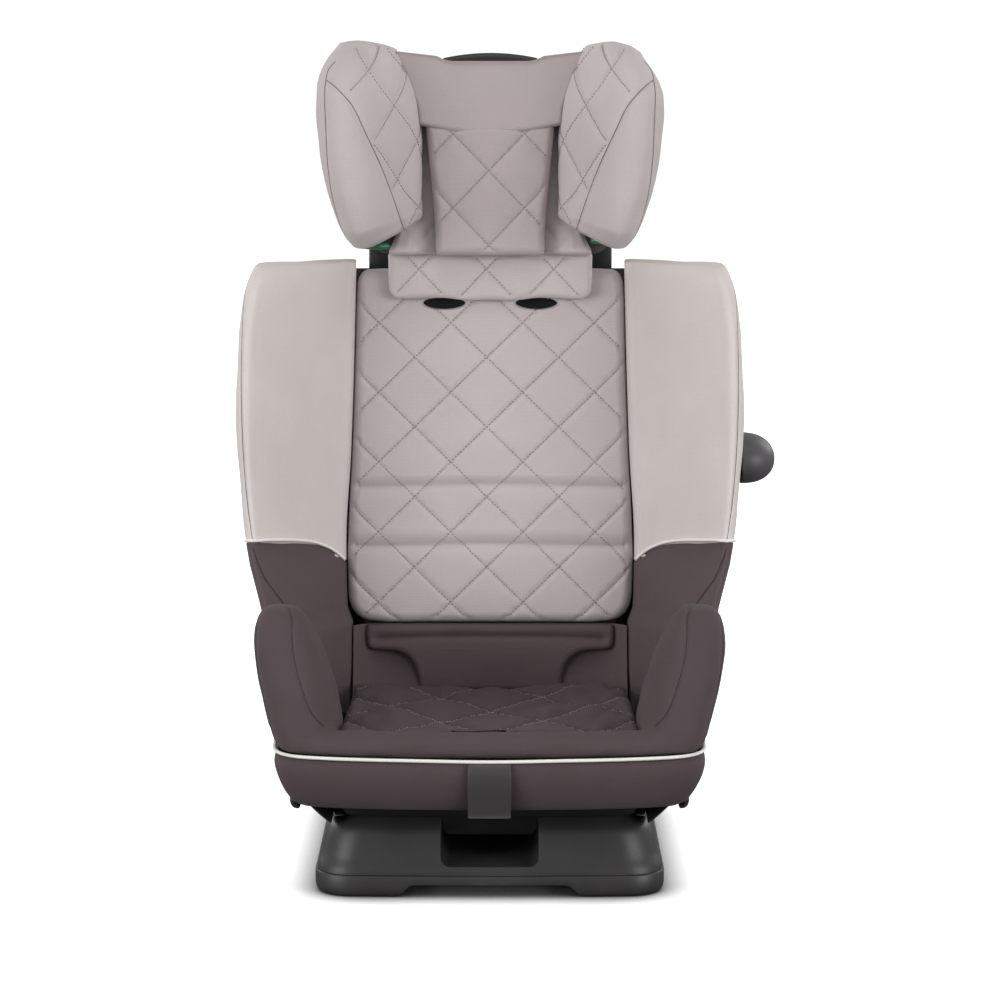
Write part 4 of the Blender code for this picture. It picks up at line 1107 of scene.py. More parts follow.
LIGHT_EDGE = ((0.236, 0.548), (0.2365, 0.5), (0.2362, 0.46), (0.2335, 0.4), (0.229, 0.355), (0.2232, 0.318))
DARK_EDGE = ((0.2232, 0.312), (0.2121, 0.2842), (0.202, 0.268), (0.1944, 0.2554), (0.186, 0.24))
BELLY = 0.06
UPPER_LEVELS = np.r_[
    SEAM_LEVEL + 0.0012, SEAM_LEVEL + 0.0022, np.linspace(0.286, 0.555, 120), 0.56, 0.565, 0.5688
]
LOWER_LEVELS = np.r_[np.linspace(0.14, 0.275, 62), SEAM_LEVEL - 0.0024, SEAM_LEVEL - 0.0012]
LOWER_FACE = (
    (0.0, 0.0, 0.008), (0.02, 0.02, 0.0), (0.1, 0.1, 0.0), (0.22, 0.24, 0.0), (0.4, 0.46, 0.0),
    (0.55, 0.655, 0.0), (0.7, 0.835, 0.0), (0.8, 0.945, 0.0), (0.865, 0.995, 0.001), (0.91, 1.0, 0.006),
    (0.935, 1.0, 0.014), (0.945, 1.0, 0.03),
)
LOWER_BACK = (
    (0.93, 1.0, 0.045), (0.86, 0.8, 0.04), (0.62, 0.5, 0.04), (0.3, 0.15, 0.045), (0.02, 0.0, 0.045),
)
for label, side in SIDES:
    piece = bolster(
        "upper_bolster_" + label, side, UPPER_LEVELS, 0.45, BOLSTER_FACE, BOLSTER_BACK, LIGHT_LIT_COPY,
        0.0048, (LIGHT_EDGE,),
    )
    flip = np.array([side, 1, 1])
    laid = [drape(tree_of(piece), front_line(LIGHT_EDGE, 300) * flip)]
    lay_seam_shadow("bolster_seam_" + label, laid, SEAM_SHADOW_LINE, "seat", 0.0004)
    piece = bolster(
        "lower_bolster_" + label, side, LOWER_LEVELS, 0.17, LOWER_FACE, LOWER_BACK, BROWN_LIT_COPY,
        0.0012, (DARK_EDGE,),
    )
    laid = [drape(tree_of(piece), front_line(DARK_EDGE, 200) * flip)]
    lay_seam_shadow("lower_bolster_seam_" + label, laid, BROWN_SEAM_SHADOW_LINE, "seat", 0.0005)
    # Piping along the seam between them.
    rules = spline(BOLSTER_FACE[1:], 200)
    path = bolster_point(rules, SEAM_LEVEL + 0.0002, 1.0)
    flat_run = np.gradient(path, axis=0)
    out = np.stack([flat_run[:, 1], -flat_run[:, 0], 0 * flat_run[:, 0]], -1)
    out /= np.linalg.norm(out, axis=1, keepdims=True)
    path = spline((path + out * 0.0017)[3:180:8], 220)
    path[:, 2] -= 0.0013 * np.clip(1 - np.arange(220) / 60, 0, 1)
    rings = tube(path, 0.0015, 14)
    if side < 0:
        rings = mirrored(rings)
    make_tube("bolster_piping_" + label, rings, PIPING, "seat", ("bolster_piping_" + label,))

# ---------------------------------------------------------------- belt guides and mesh gussets

GUIDE_PATH = ((0.12, -0.018), (0.125, -0.037), (0.119, -0.054), (0.109, -0.06), (0.1, -0.056))
GUIDE_LEVEL = {"left": 0.588, "right": 0.5935}


def belt_guide(label, side):
    """A slim round hook under a head wing."""
    plan = spline(GUIDE_PATH, 60)
    level = GUIDE_LEVEL[label]
    path = np.array([(side * x, back_y(level) + o, level) for x, o in plan])
    rings = capped(tube(path, 0.0026, 18, flat=1.2), reach=0.0024, steps=4)
    make_tube("belt_guide_" + label, rings, GREEN, "headrest", ("belt_guide_" + label,))


GUSSET_HALF = (
    (0.088, 0.612), (0.096, 0.606), (0.106, 0.598), (0.113, 0.59), (0.114, 0.585), (0.109, 0.5805),
    (0.101, 0.5785), (0.096, 0.58), (0.092, 0.59), (0.088, 0.604),
)


# Rows of (share of the outline, offset from the back's line).
GUSSET_ROWS = (
    (0.05, -0.0165), (0.5, -0.018), (0.9, -0.0172), (1.0, -0.015), (0.97, -0.0125), (0.05, -0.0122),
)


def gusset(label, side):
    """The dark mesh that closes the corner between the head liner and a wing."""
    ring = spline(GUSSET_HALF, 72, closed=True)
    middle = ring.mean(0)
    rings = []
    for share, o in GUSSET_ROWS:
        p = middle + (ring - middle) * share
        rings.append(on_back(side * p[:, 0], p[:, 1], o))
    piece = make_tube("head_gusset_" + label, rings, MESH, "headrest")


for label, side in SIDES:
    belt_guide(label, side)
    gusset(label, side)

# ---------------------------------------------------------------- lower back


LUMBAR_HALF = (
    (0.0, 0.156), (0.06, 0.156), (0.069, 0.157), (0.0705, 0.166), (0.0735, 0.179), (0.08, 0.1885),
    (0.09, 0.194), (0.105, 0.1958), (0.1145, 0.1962), (0.1195, 0.199), (0.121, 0.206), (0.1212, 0.214),
    (0.1195, 0.2188), (0.114, 0.22), (0.06, 0.2205), (0.0, 0.2205),
)


def lumbar_relief(a, b):
    crease = 0.21 - 0.003 * (a / 0.12) ** 2
    near = np.clip((0.117 - np.abs(a)) / 0.008, 0, 1)
    h = sewn(np.abs(b - crease), 0.0055, 0.0034) * near
    return h + 0.001 * ripple(np.stack([a, b, 0 * a], -1), 0.07, 41)


lumbar_pad, _ = pad(
    "lumbar_pad", LUMBAR_HALF, on_back, 0.01, lambda a, b: 0.0035 + 0.002 * (a / 0.12) ** 2, 0.0135, 0.007,
    150, 80, lumbar_relief, BROWN_LIT_COPY, "seat", ("lumbar_pad",), rear_roll=0.002,
)


def ease(obj, centre, radius, rounds=14):
    """Smooth the depth of a pad's front where its rows close up in the middle."""
    bm = bmesh.new()
    bm.from_mesh(obj.data)
    near = [
        v for v in bm.verts
        if abs(v.co.x - centre[0]) < radius[0] and abs(v.co.z - centre[1]) < radius[1]
    ]
    for _ in range(rounds):
        depth = [sum(e.other_vert(v).co.y for e in v.link_edges) / len(v.link_edges) for v in near]
        for v, y in zip(near, depth):
            v.co.y = (v.co.y + y) / 2
    bm.to_mesh(obj.data)
    bm.free()


ease(lumbar_pad, (0.0, 0.195), (0.075, 0.008))


REAR_COVER_THICK = 0.0016


def rear_cover():
    """The dark cloth behind the lumbar pad, which runs down to the seat and out to the bolsters."""
    columns, rows = 120, 60
    s = np.linspace(-1, 1, columns)[None, :]
    t = np.linspace(0, 1, rows)[:, None]
    z = 0.14 + 0.08 * t + 0 * s
    x = s * (pchip(PAD_HALF, z) + 0.0006)
    o = 0.0165 - 0.0165 * np.clip((np.abs(s) - 0.8) / 0.2, 0, 1) ** 2 - 0.02 * (1 - t) ** 3
    p = on_back(x, z, o)
    p[..., 1] += 0.0014 * ripple(p, 0.045, 43) * np.sin(t * math.pi) * (1 - s ** 8)
    rear = p + np.array([0, REAR_COVER_THICK, 0])
    return make_slab("seat_rear_cover", p, rear, BROWN_LIT_COPY, "seat")


rear_cover()

# ---------------------------------------------------------------- seat pad

SEAT_HALF = (
    (0.0, -0.249), (0.08, -0.249), (0.127, -0.249), (0.135, -0.2465), (0.1374, -0.238), (0.1374, -0.16),
    (0.1345, -0.08), (0.133, -0.025), (0.13, -0.013), (0.118, -0.009), (0.06, -0.0085), (0.0, -0.0085),
)
SEAT_QUILT = ((0.0015, -0.227), 0.096, 0.116)


def on_seat(a, b, o):
    return np.stack(np.broadcast_arrays(a, b, 0.166 - o), -1)


def seat_relief(a, b):
    h = quilted(a, b, *SEAT_QUILT, depth=0.0024, fall=0.005, pucker=0.0005, crown=0.0022)
    p = np.stack([a, b, 0 * a], -1)
    h = h + 0.0022 * ripple(p, 0.085, 51) + 0.0009 * ripple(p, 0.03, 52)
    slot = np.maximum(np.abs(a - 0.0005) - 0.0225, np.abs(b + 0.24) - 0.0012)
    return np.where(slot < 0.002, np.minimum(h, -0.009 + 4.5 * np.clip(slot, 0, 0.002)), h)


def seat_top(a, b):
    dish = 0.0045 * np.exp(-((a / 0.08) ** 2)) * np.clip((b + 0.249) / 0.05, 0, 1)
    return 0.0005 + dish - 0.002 * np.clip((b + 0.1) / 0.09, 0, 1) ** 2


seat_cushion, seat_outline = pad(
    "seat_cushion", SEAT_HALF, on_seat, 0.014, seat_top, 0.0292, 0.009, 190, 170, seat_relief, BROWN, "seat",
    ("seat_cushion",), rear_roll=0.006,
)
quilt_thread(
    "seat_cushion_thread", seat_cushion, seat_outline, SEAT_QUILT, 0.004, lambda a, b: on_seat(a, b, 0.0),
    BROWN_THREAD, "seat", "dark_fabric", way=(0, 0, -1), reach=0.1, radius=0.0006,
)

# A near-black tube in the adjuster slit: painted shade in its opening.
slit = [(x, -0.2478, 0.1678 + 0.0006 * math.sin(x * 90)) for x in np.linspace(-0.0335, 0.014, 30)]
slit_rings = capped(tube(np.array(slit), 0.0011, 10), reach=0.001, steps=3)
make_tube("adjuster_slit", slit_rings, SLOT_SHADE, "seat")

# ---------------------------------------------------------------- armrests and front band, one cover

PIPING_Z = 0.1487


def skirt_plan(count):
    """The whole plan of the front skirt, from the left end round the front to the right end."""
    corner = [
        (0.152 + 0.044 * math.sin(math.radians(a)), -0.23 - 0.044 * math.cos(math.radians(a)))
        for a in (12, 30, 48, 66, 84)
    ]
    half = [(0.0, -0.287), (0.05, -0.2862), (0.1, -0.2835), (0.135, -0.279)] + corner
    half += [(0.1975, -0.2), (0.1985, -0.18), (0.201, -0.13)]
    return spline([(-x, y) for x, y in half[:0:-1]] + half, count)


def swept(plan, section):
    """Rings of an (inset, z) section along a plan."""
    run = np.gradient(plan, axis=0)
    run /= np.linalg.norm(run, axis=1, keepdims=True)
    inward = np.stack([-run[:, 1], run[:, 0]], 1)
    section = np.asarray(section, float)
    xy = plan[:, None] + inward[:, None] * section[None, :, 0:1]
    z = np.broadcast_to(section[None, :, 1:2], xy.shape[:2] + (1,))
    return np.concatenate([xy, z], -1)


ARM_ROWS = (
    # z, inner x, outer x, front y, rear y
    (0.152, 0.135, 0.1968, -0.27, -0.103), (0.17, 0.1375, 0.2012, -0.268, -0.107),
    (0.19, 0.141, 0.2062, -0.262, -0.113), (0.205, 0.145, 0.2098, -0.257, -0.119),
    (0.225, 0.151, 0.2136, -0.247, -0.13), (0.24, 0.1565, 0.2152, -0.237, -0.14),
    (0.253, 0.1625, 0.2148, -0.226, -0.149), (0.262, 0.168, 0.2125, -0.216, -0.157),
    (0.268, 0.1735, 0.2085, -0.207, -0.165),
)


def superellipse(x0, x1, y0, y1, power, count):
    angle = np.linspace(0, 2 * math.pi, count, endpoint=False)
    c, s = np.cos(angle), np.sin(angle)
    x = (x0 + x1) / 2 + (x1 - x0) / 2 * np.sign(c) * np.abs(c) ** (2 / power)
    y = (y0 + y1) / 2 + (y1 - y0) / 2 * np.sign(s) * np.abs(s) ** (2 / power)
    return np.stack([x, y], 1)


CLOTH_STIFFNESS = 12


def grow_cloth(obj, voxel, pressure, cap, frames):
    """Remesh, then swell as cloth under pressure; no point moves further than cap."""
    remesh = obj.modifiers.new("remesh", "REMESH")
    remesh.mode = "VOXEL"
    remesh.voxel_size = voxel
    bake(obj)
    smooth = obj.modifiers.new("smooth", "SMOOTH")
    smooth.factor = 0.5
    smooth.iterations = 6
    bake(obj)
    mesh = obj.data
    start = np.empty(len(mesh.vertices) * 3, np.float32)
    mesh.vertices.foreach_get("co", start)
    cloth = obj.modifiers.new("cloth", "CLOTH")
    cloth.settings.quality = 5
    cloth.settings.tension_stiffness = CLOTH_STIFFNESS
    cloth.settings.compression_stiffness = CLOTH_STIFFNESS
    cloth.settings.shear_stiffness = CLOTH_STIFFNESS / 2
    cloth.settings.bending_stiffness = 0.6
    cloth.settings.use_pressure = True
    cloth.settings.uniform_pressure_force = pressure
    cloth.settings.effector_weights.gravity = 0
    cloth.settings.mass = 0.3
    scene = bpy.context.scene
    for frame_number in range(1, frames + 1):
        scene.frame_set(frame_number)
    depth = bpy.context.evaluated_depsgraph_get()
    moved = obj.evaluated_get(depth).to_mesh()
    end = np.empty(len(moved.vertices) * 3, np.float32)
    moved.vertices.foreach_get("co", end)
    obj.evaluated_get(depth).to_mesh_clear()
    obj.modifiers.clear()
    scene.frame_set(1)
    step = (end - start).reshape(-1, 3)
    far = np.linalg.norm(step, axis=1, keepdims=True)
    step *= np.minimum(1, cap / np.maximum(far, 1e-9))
    mesh.vertices.foreach_set("co", (start.reshape(-1, 3) + step).ravel())
    mesh.update()


def bake(obj):
    """The mesh becomes what its modifiers make of it."""
    depth = bpy.context.evaluated_depsgraph_get()
    mesh = bpy.data.meshes.new_from_object(obj.evaluated_get(depth))
    old = obj.data
    obj.modifiers.clear()
    obj.data = mesh
    if old.users == 0:
        bpy.data.meshes.remove(old)


ARM_FLAT = 0.1518
ROLL_SECTION = (
    (0.03, 0.1514), (0.01, 0.1514), (0.0026, 0.1516), (0.001, 0.156), (0.003, 0.161), (0.0085, 0.1655),
    (0.018, 0.168), (0.03, 0.1683), (0.0365, 0.167), (0.0375, 0.16), (0.0365, 0.153),
)
ARM_SEAM = (
    (0.183, 0.272), (0.18, 0.265), (0.1788, 0.25), (0.1765, 0.235), (0.17, 0.213), (0.16, 0.188),
    (0.149, 0.1745),
)
ARM_EDGE = (
    (0.211, 0.268), (0.2125, 0.255), (0.212, 0.235), (0.209, 0.213), (0.202, 0.182), (0.196, 0.16),
    (0.194, 0.153),
)


def arm_seams(obj):
    """The arm cover's seams, laid on it from the front: points and normals."""
    skin = tree_of(obj)
    lines = [front_line(line, 260) + [0, -0.1, 0] for line in (ARM_SEAM, ARM_EDGE)]
    return [drape(skin, line * [side, 1, 1]) for side in (-1, 1) for line in lines]


def arm_cover():
    """Both armrests and the front roll: one stuffed cover."""
    verts, faces = [], []

    def put(rings):
        start = len(verts)
        verts.extend(rings.reshape(-1, 3))
        faces.extend([[int(i) + start for i in f] for f in tube_faces(len(rings), rings.shape[1])])

    rows = np.array(ARM_ROWS)
    heights = np.linspace(0.152, 0.268, 30)
    rings = []
    for z in heights:
        plan = superellipse(*(pchip(rows[:, [0, k]], z) for k in (1, 2, 3, 4)), 2.9, 64)
        rings.append(np.c_[plan, np.full(64, z)])
    arm = capped(np.array(rings), reach=0.0055, steps=6)
    arm = np.maximum(arm, [-9, -9, 0.1515])
    put(arm)
    put(mirrored(arm))
    plan = skirt_plan(220)
    front = (np.abs(plan[:, 0]) < 0.1985) & (plan[:, 1] < -0.155)
    put(swept(plan[front], spline(ROLL_SECTION, 48, closed=True)))
    obj = add_object("arm_cover", verts, faces, BROWN)
    grow_cloth(obj, voxel=0.003, pressure=3.0, cap=0.0022, frames=14)
    even = obj.modifiers.new("even", "SMOOTH")
    even.factor = 0.5
    even.iterations = 3
    fine = obj.modifiers.new("fine", "SUBSURF")
    fine.levels = fine.render_levels = 1
    bake(obj)
    mesh = obj.data
    mesh.materials.clear()
    mesh.materials.append(BROWN)
    mesh.shade_smooth()
    p = np.array([v.co for v in mesh.vertices])
    n = np.array([v.normal for v in mesh.vertices])
    h = 0.0006 * ripple(p, 0.06, 61) + 0.0003 * ripple(p, 0.02, 62)
    for laid, _ in arm_seams(obj):
        h = h + sewn(far_from(p, laid), 0.0019, 0.0017)
    h[p[:, 2] < ARM_FLAT] = 0
    mesh.vertices.foreach_set("co", (p + n * h[:, None]).astype(np.float32).ravel())
    mesh.update()
    settle(obj, "seat", ("armrest_left", "armrest_right", "front_bolster"))
    lay_seam_shadow("arm_cover_shadow_lines", arm_seams(obj), BROWN_SEAM_SHADOW_LINE, "seat", 0.0004)


arm_cover()

# ---------------------------------------------------------------- skirt, piping, strap

SKIRT_SECTION = (
    (0.003, 0.1462), (0.0008, 0.142), (0.0002, 0.135), (0.0022, 0.126), (0.006, 0.117), (0.011, 0.1085),
    (0.0165, 0.102), (0.0225, 0.0992), (0.024, 0.1), (0.0236, 0.1026), (0.019, 0.106), (0.013, 0.115),
    (0.0085, 0.125), (0.006, 0.135), (0.0062, 0.144), (0.006, 0.1462),
)


def skirt():
    """The front skirt and the piping along its top."""
    section = np.vstack([spline(SKIRT_SECTION[:8], 60), spline(SKIRT_SECTION[8:], 30)])
    plan = skirt_plan(420)
    rings = swept(plan, section)
    n = normals(rings, wrap=True)
    if n[len(n) // 2, 20][1] > 0:
        n = -n
    outer = np.zeros(90)
    outer[:60] = np.sin(np.linspace(0, math.pi, 60)) ** 0.4
    h = (0.0009 * ripple(rings, 0.09, 71) + 0.0003 * ripple(rings, 0.03, 72)) * outer
    for x in (-0.0195, 0.02):
        h = h + sewn(np.abs(rings[..., 0] - x), 0.0009, 0.0012) * outer * (rings[..., 1] < -0.2)
    h = h + sewn(np.abs(rings[..., 2] - 0.1035), 0.0006, 0.001) * outer
    final = rings + n * h[..., None]
    obj = make_tube("front_skirt", final, BROWN, "seat", ("front_skirt",))
    angle = np.linspace(0, 2 * math.pi, 16, endpoint=False)
    cord = np.stack([0.0012 + 0.0019 * np.cos(angle), PIPING_Z + 0.0016 * np.sin(angle)], 1)
    rings = swept(plan, cord)
    rings[..., 2] += 0.0004 - 0.0011 * np.exp(-((rings[..., 0] / 0.06) ** 2))
    make_tube("front_piping", rings, PIPING, "seat", ("front_piping",))


skirt()

STRAP_PATH = (
    (-0.285, 0.1455), (-0.289, 0.144), (-0.2915, 0.14), (-0.2922, 0.134), (-0.2908, 0.123), (-0.2862, 0.11),
    (-0.279, 0.0985), (-0.269, 0.0935), (-0.256, 0.0925), (-0.242, 0.0935),
)


def ribbon(name, path, x0, x1, thick, material, body, replaces):
    """A flat strap along a path of (y, z), with rounded selvedges."""
    p = spline(path, 120)
    run = np.gradient(p, axis=0)
    run /= np.linalg.norm(run, axis=1, keepdims=True)
    out = np.stack([run[:, 1], -run[:, 0]], 1)
    angle = np.linspace(0, 2 * math.pi, 40, endpoint=False)
    across = (x0 + x1) / 2 + (x1 - x0) / 2 * np.sign(np.cos(angle)) * np.abs(np.cos(angle)) ** 0.22
    lift = thick / 2 * np.sign(np.sin(angle)) * np.abs(np.sin(angle)) ** 0.6
    rings = np.empty((len(p), 40, 3))
    rings[..., 0] = across
    rings[..., 1] = p[:, None, 0] + out[:, None, 0] * lift
    rings[..., 2] = p[:, None, 1] + out[:, None, 1] * lift
    return make_tube(name, rings, material, body, replaces)


ribbon("adjuster_strap", STRAP_PATH, -0.019, 0.0192, 0.0017, WEBBING, "seat", ("adjuster_strap",))

# ---------------------------------------------------------------- base


def rounded(x0, x1, y0, y1, radius, steps):
    """A rectangle's outline with round corners, with points along its sides too."""
    points = []
    for cx, cy, start in (
        (x1 - radius, y0 + radius, -90), (x1 - radius, y1 - radius, 0), (x0 + radius, y1 - radius, 90),
        (x0 + radius, y0 + radius, 180),
    ):
        for k in range(steps + 1):
            a = math.radians(start + 90 * k / steps)
            points.append((cx + radius * math.cos(a), cy + radius * math.sin(a)))
    return np.array(points)


BASE_INSET = (
    (0.0203, 0.0016), (0.024, 0.0022), (0.0345, 0.0058), (0.052, 0.01), (0.061, 0.0135), (0.0686, 0.0225),
    (0.074, 0.0295), (0.08, 0.0325), (0.105, 0.034),
)


def shell_object(name, rings, material):
    """A closed solid from rings, for boolean cuts."""
    rings = np.array(rings)
    obj = add_object(name, rings.reshape(-1, 3), tube_faces(*rings.shape[:2]), material)
    bm = bmesh.new()
    bm.from_mesh(obj.data)
    bmesh.ops.recalc_face_normals(bm, faces=bm.faces)
    bm.to_mesh(obj.data)
    bm.free()
    return obj


def boolean(obj, cutter):
    cut = obj.modifiers.new("cut", "BOOLEAN")
    cut.object = cutter
    cut.operation = "DIFFERENCE"
    cut.solver = "EXACT"
    bake(obj)
    bpy.data.objects.remove(cutter)


def crisp(obj, width, segments=3):
    """Rounds the hard edges a little and shades the rest smooth."""
    bevel = obj.modifiers.new("bevel", "BEVEL")
    bevel.width = width
    bevel.segments = segments
    bevel.limit_method = "ANGLE"
    bevel.angle_limit = math.radians(35)
    bake(obj)
    obj.data.shade_smooth()
    obj.data.set_sharp_from_angle(angle=math.radians(48))


BASE_POINTS = 260
BASE_CORNER = 0.034
RECLINE_AXIS = (-0.02, 0.45)
DRUM_RADIUS = 0.4035
# Rows of (height, inset) up the plate's edge, and the foot arch's outline from the middle's height down.
PLATE_ROWS = (
    (0.0, 0.005), (0.0008, 0.0032), (0.0022, 0.0016), (0.0045, 0.0004), (0.008, 0.0), (0.0185, 0.0),
    (0.0197, 0.0006), (0.02, 0.0014),
)
ARCH_HALF = ((0.085, -0.002), (0.0835, 0.001), (0.079, 0.0062), (0.075, 0.01), (0.07, 0.0115))


def base_plan(inset, radius):
    """The base's plan, inset by a distance, with its front and sides slightly bowed."""
    plan = rounded(-0.163 + inset, 0.163 - inset, -0.19 + inset, 0.198 - inset, radius, 14)
    plan = resample(plan, BASE_POINTS, closed=True)
    front = np.clip((-0.12 - plan[:, 1]) / 0.04, 0, 1)
    plan[:, 1] -= 0.0035 * front * np.cos(np.clip(plan[:, 0] / 0.15, -1, 1) * math.pi / 2)
    return plan


def base_cover():
    """The base's sloped shell, hollowed by the rockers' drum and by the hand cavity."""
    heights = np.r_[0.0203, np.linspace(0.0215, 0.08, 40), 0.09, 0.105]
    rings = []
    for z in heights:
        rings.append(np.c_[base_plan(float(pchip(BASE_INSET, z)), BASE_CORNER), np.full(BASE_POINTS, z)])
    cover = shell_object("base_cover", rings, BASE_PLASTIC)
    angle = np.linspace(0, 2 * math.pi, 240, endpoint=False)
    y = RECLINE_AXIS[0] + DRUM_RADIUS * np.cos(angle)
    z = RECLINE_AXIS[1] + DRUM_RADIUS * np.sin(angle)
    drum = [np.stack([np.full(240, x), y, z], 1) for x in (-0.3, 0.3)]
    boolean(cover, shell_object("drum", drum, BASE_PLASTIC))
    plan = rounded(-0.0455, 0.0455, 0.028, 0.15, 0.009, 10)
    cavity = [np.c_[plan[:, 0], np.full(len(plan), y), plan[:, 1]] for y in (-0.21, -0.06)]
    boolean(cover, shell_object("cavity", cavity, BASE_PLASTIC))
    crisp(cover, 0.0012)
    settle(cover, "base", ("base_cover",))


def base_plate():
    """The base's plate, with an arch under its front."""
    rings = [np.c_[base_plan(inset, BASE_CORNER - inset), np.full(BASE_POINTS, z)] for z, inset in PLATE_ROWS]
    plate = shell_object("base_plate", rings, BASE_PLASTIC)
    arch = [(-x, z) for x, z in ARCH_HALF] + [(x, z) for x, z in ARCH_HALF[::-1]]
    cutter = [[(x, y, z) for x, z in arch] for y in (-0.21, -0.13)]
    boolean(plate, shell_object("arch", cutter, BASE_PLASTIC))
    crisp(plate, 0.0008)
    settle(plate, "base", ("base_plate",))


base_cover()
base_plate()


def clone(node, width, segments=2, material=None):
    """A softened copy of a hard CAD node, with rounded edges."""
    source = NODES[node]
    mesh = source.data.copy()
    obj = bpy.data.objects.new(node + "_finished", mesh)
    bpy.context.scene.collection.objects.link(obj)
    bm = bmesh.new()
    bm.from_mesh(mesh)
    bmesh.ops.remove_doubles(bm, verts=bm.verts, dist=1e-5)
    bmesh.ops.dissolve_limit(bm, angle_limit=math.radians(1.0), verts=bm.verts, edges=bm.edges)
    bm.to_mesh(mesh)
    bm.free()
    if material:
        mesh.materials.clear()
        mesh.materials.append(material)
    crisp(obj, width, segments)
    settle(obj, source["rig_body"], (node,))
    return obj


# ---------------------------------------------------------------- side pod

POD_AT = (0.028, 0.383)


def pod_ring(x, half_y, half_z, count=96):
    angle = np.linspace(0, 2 * math.pi, count, endpoint=False)
    c, s = np.cos(angle), np.sin(angle)
    y = POD_AT[0] + half_y * np.sign(c) * np.abs(c) ** 0.85
    z = POD_AT[1] + half_z * np.sign(s) * np.abs(s) ** 0.9
    return np.stack([np.full(count, x), y, z], 1)


# Rows of (x, half depth, half height) round the rim and into the hollow.
POD_INSIDE = (
    (0.243, 0.0412, 0.0235), (0.243, 0.0325, 0.0222), (0.2436, 0.0316, 0.0213), (0.2486, 0.0312, 0.0209),
    (0.2488, 0.02, 0.01),
)


def side_pod():
    """A hollow rounded cap that fits over its socket."""
    rings = []
    for t in np.linspace(0, 1, 40):
        reach = math.sin(t * math.pi / 2)
        share = max(0.0, 1 - reach ** 2.5) ** (1 / 2.1)
        if t == 1:
            share = 0.02
        rings.append(pod_ring(0.2436 + 0.0336 * reach, 0.042 * share, 0.0243 * share))
    rings = rings[::-1] + [pod_ring(*row) for row in POD_INSIDE]
    make_tube("side_pod", rings, POD_PLASTIC, "pod", ("side_pod",))


side_pod()

# ---------------------------------------------------------------- bucket

WALL = 0.0035
SHELL_TOP = 0.5555
SHELL_FRONT = (
    (0.066, -0.172), (0.075, -0.182), (0.084, -0.192), (0.105, -0.22), (0.135, -0.23), (0.17, -0.23),
    (0.205, -0.224), (0.225, -0.196), (0.235, -0.155), (0.245, -0.105), (0.262, -0.092), (0.29, -0.08),
    (0.33, -0.075), (0.4, -0.052), (0.45, -0.037), (0.5, -0.02), (0.54, -0.002), (0.562, 0.017),
)
SHELL_REAR = (
    (0.066, 0.094), (0.075, 0.115), (0.084, 0.13), (0.105, 0.168), (0.13, 0.205), (0.16, 0.232),
    (0.2, 0.236), (0.26, 0.222), (0.33, 0.205), (0.4, 0.196), (0.48, 0.196), (0.56, 0.205),
)
SHELL_HALF = (
    (0.066, 0.15), (0.072, 0.155), (0.079, 0.1605), (0.09, 0.1675), (0.105, 0.1725), (0.12, 0.178),
    (0.15, 0.1915), (0.2, 0.205), (0.25, 0.214), (0.29, 0.221), (0.33, 0.228), (0.39, 0.234), (0.45, 0.237),
    (0.5, 0.236), (0.54, 0.232), (0.565, 0.225),
)


def shell_half(y, z):
    """Outer half-width of the bucket's side, which curves in towards the rear."""
    rear = pchip(SHELL_REAR, z)
    t = np.clip((y - 0.06) / (rear - 0.06), 0, None)
    return pchip(SHELL_HALF, z) - 0.04 * t ** 2.2


def side_shell(label, side):
    """One side of the bucket."""
    rows = np.r_[0.0655, 0.0662, np.linspace(0.068, SHELL_TOP - 0.0016, 120), SHELL_TOP - 0.0006, SHELL_TOP]
    columns = 90
    t = (1 - np.cos(np.linspace(0, math.pi, columns))) / 2 * 0.35 + np.linspace(0, 1, columns) * 0.65
    rings = []
    for z in rows:
        front, rear = pchip(SHELL_FRONT, z), pchip(SHELL_REAR, z)
        y = front + (rear - front) * t
        outer = shell_half(y, z)
        # A rolled rear edge, and three shallow flutes low on the flank.
        outer = outer + 0.0012 * np.exp(-(((rear - y) / 0.0045) ** 2))
        for flute in (0.15, 0.166, 0.182):
            rise = math.exp(-(((z - flute) / 0.0028) ** 2))
            ends = np.clip((y + 0.02) / 0.03, 0, 1) * np.clip((0.15 - y) / 0.03, 0, 1)
            outer = outer - 0.0012 * rise * ends
        tuck = 0.0016 * (z in (rows[0], rows[-1])) + 0.0006 * (z in (rows[1], rows[-2]))
        lip = np.clip(1 - np.minimum(t, 1 - t) / 0.012, 0, 1) * 0.0012
        out = np.stack([side * (outer - tuck - lip), y, np.full(columns, z)], 1)
        inn = np.stack([side * (shell_half(y, z) - WALL + tuck * 0.4), y, np.full(columns, z)], 1)
        rings.append(np.vstack([out, inn[::-1]]))
    make_tube("side_shell_" + label, rings, SHELL_PLASTIC, "seat", ("side_shell_" + label,))


for label, side in SIDES:
    side_shell(label, side)


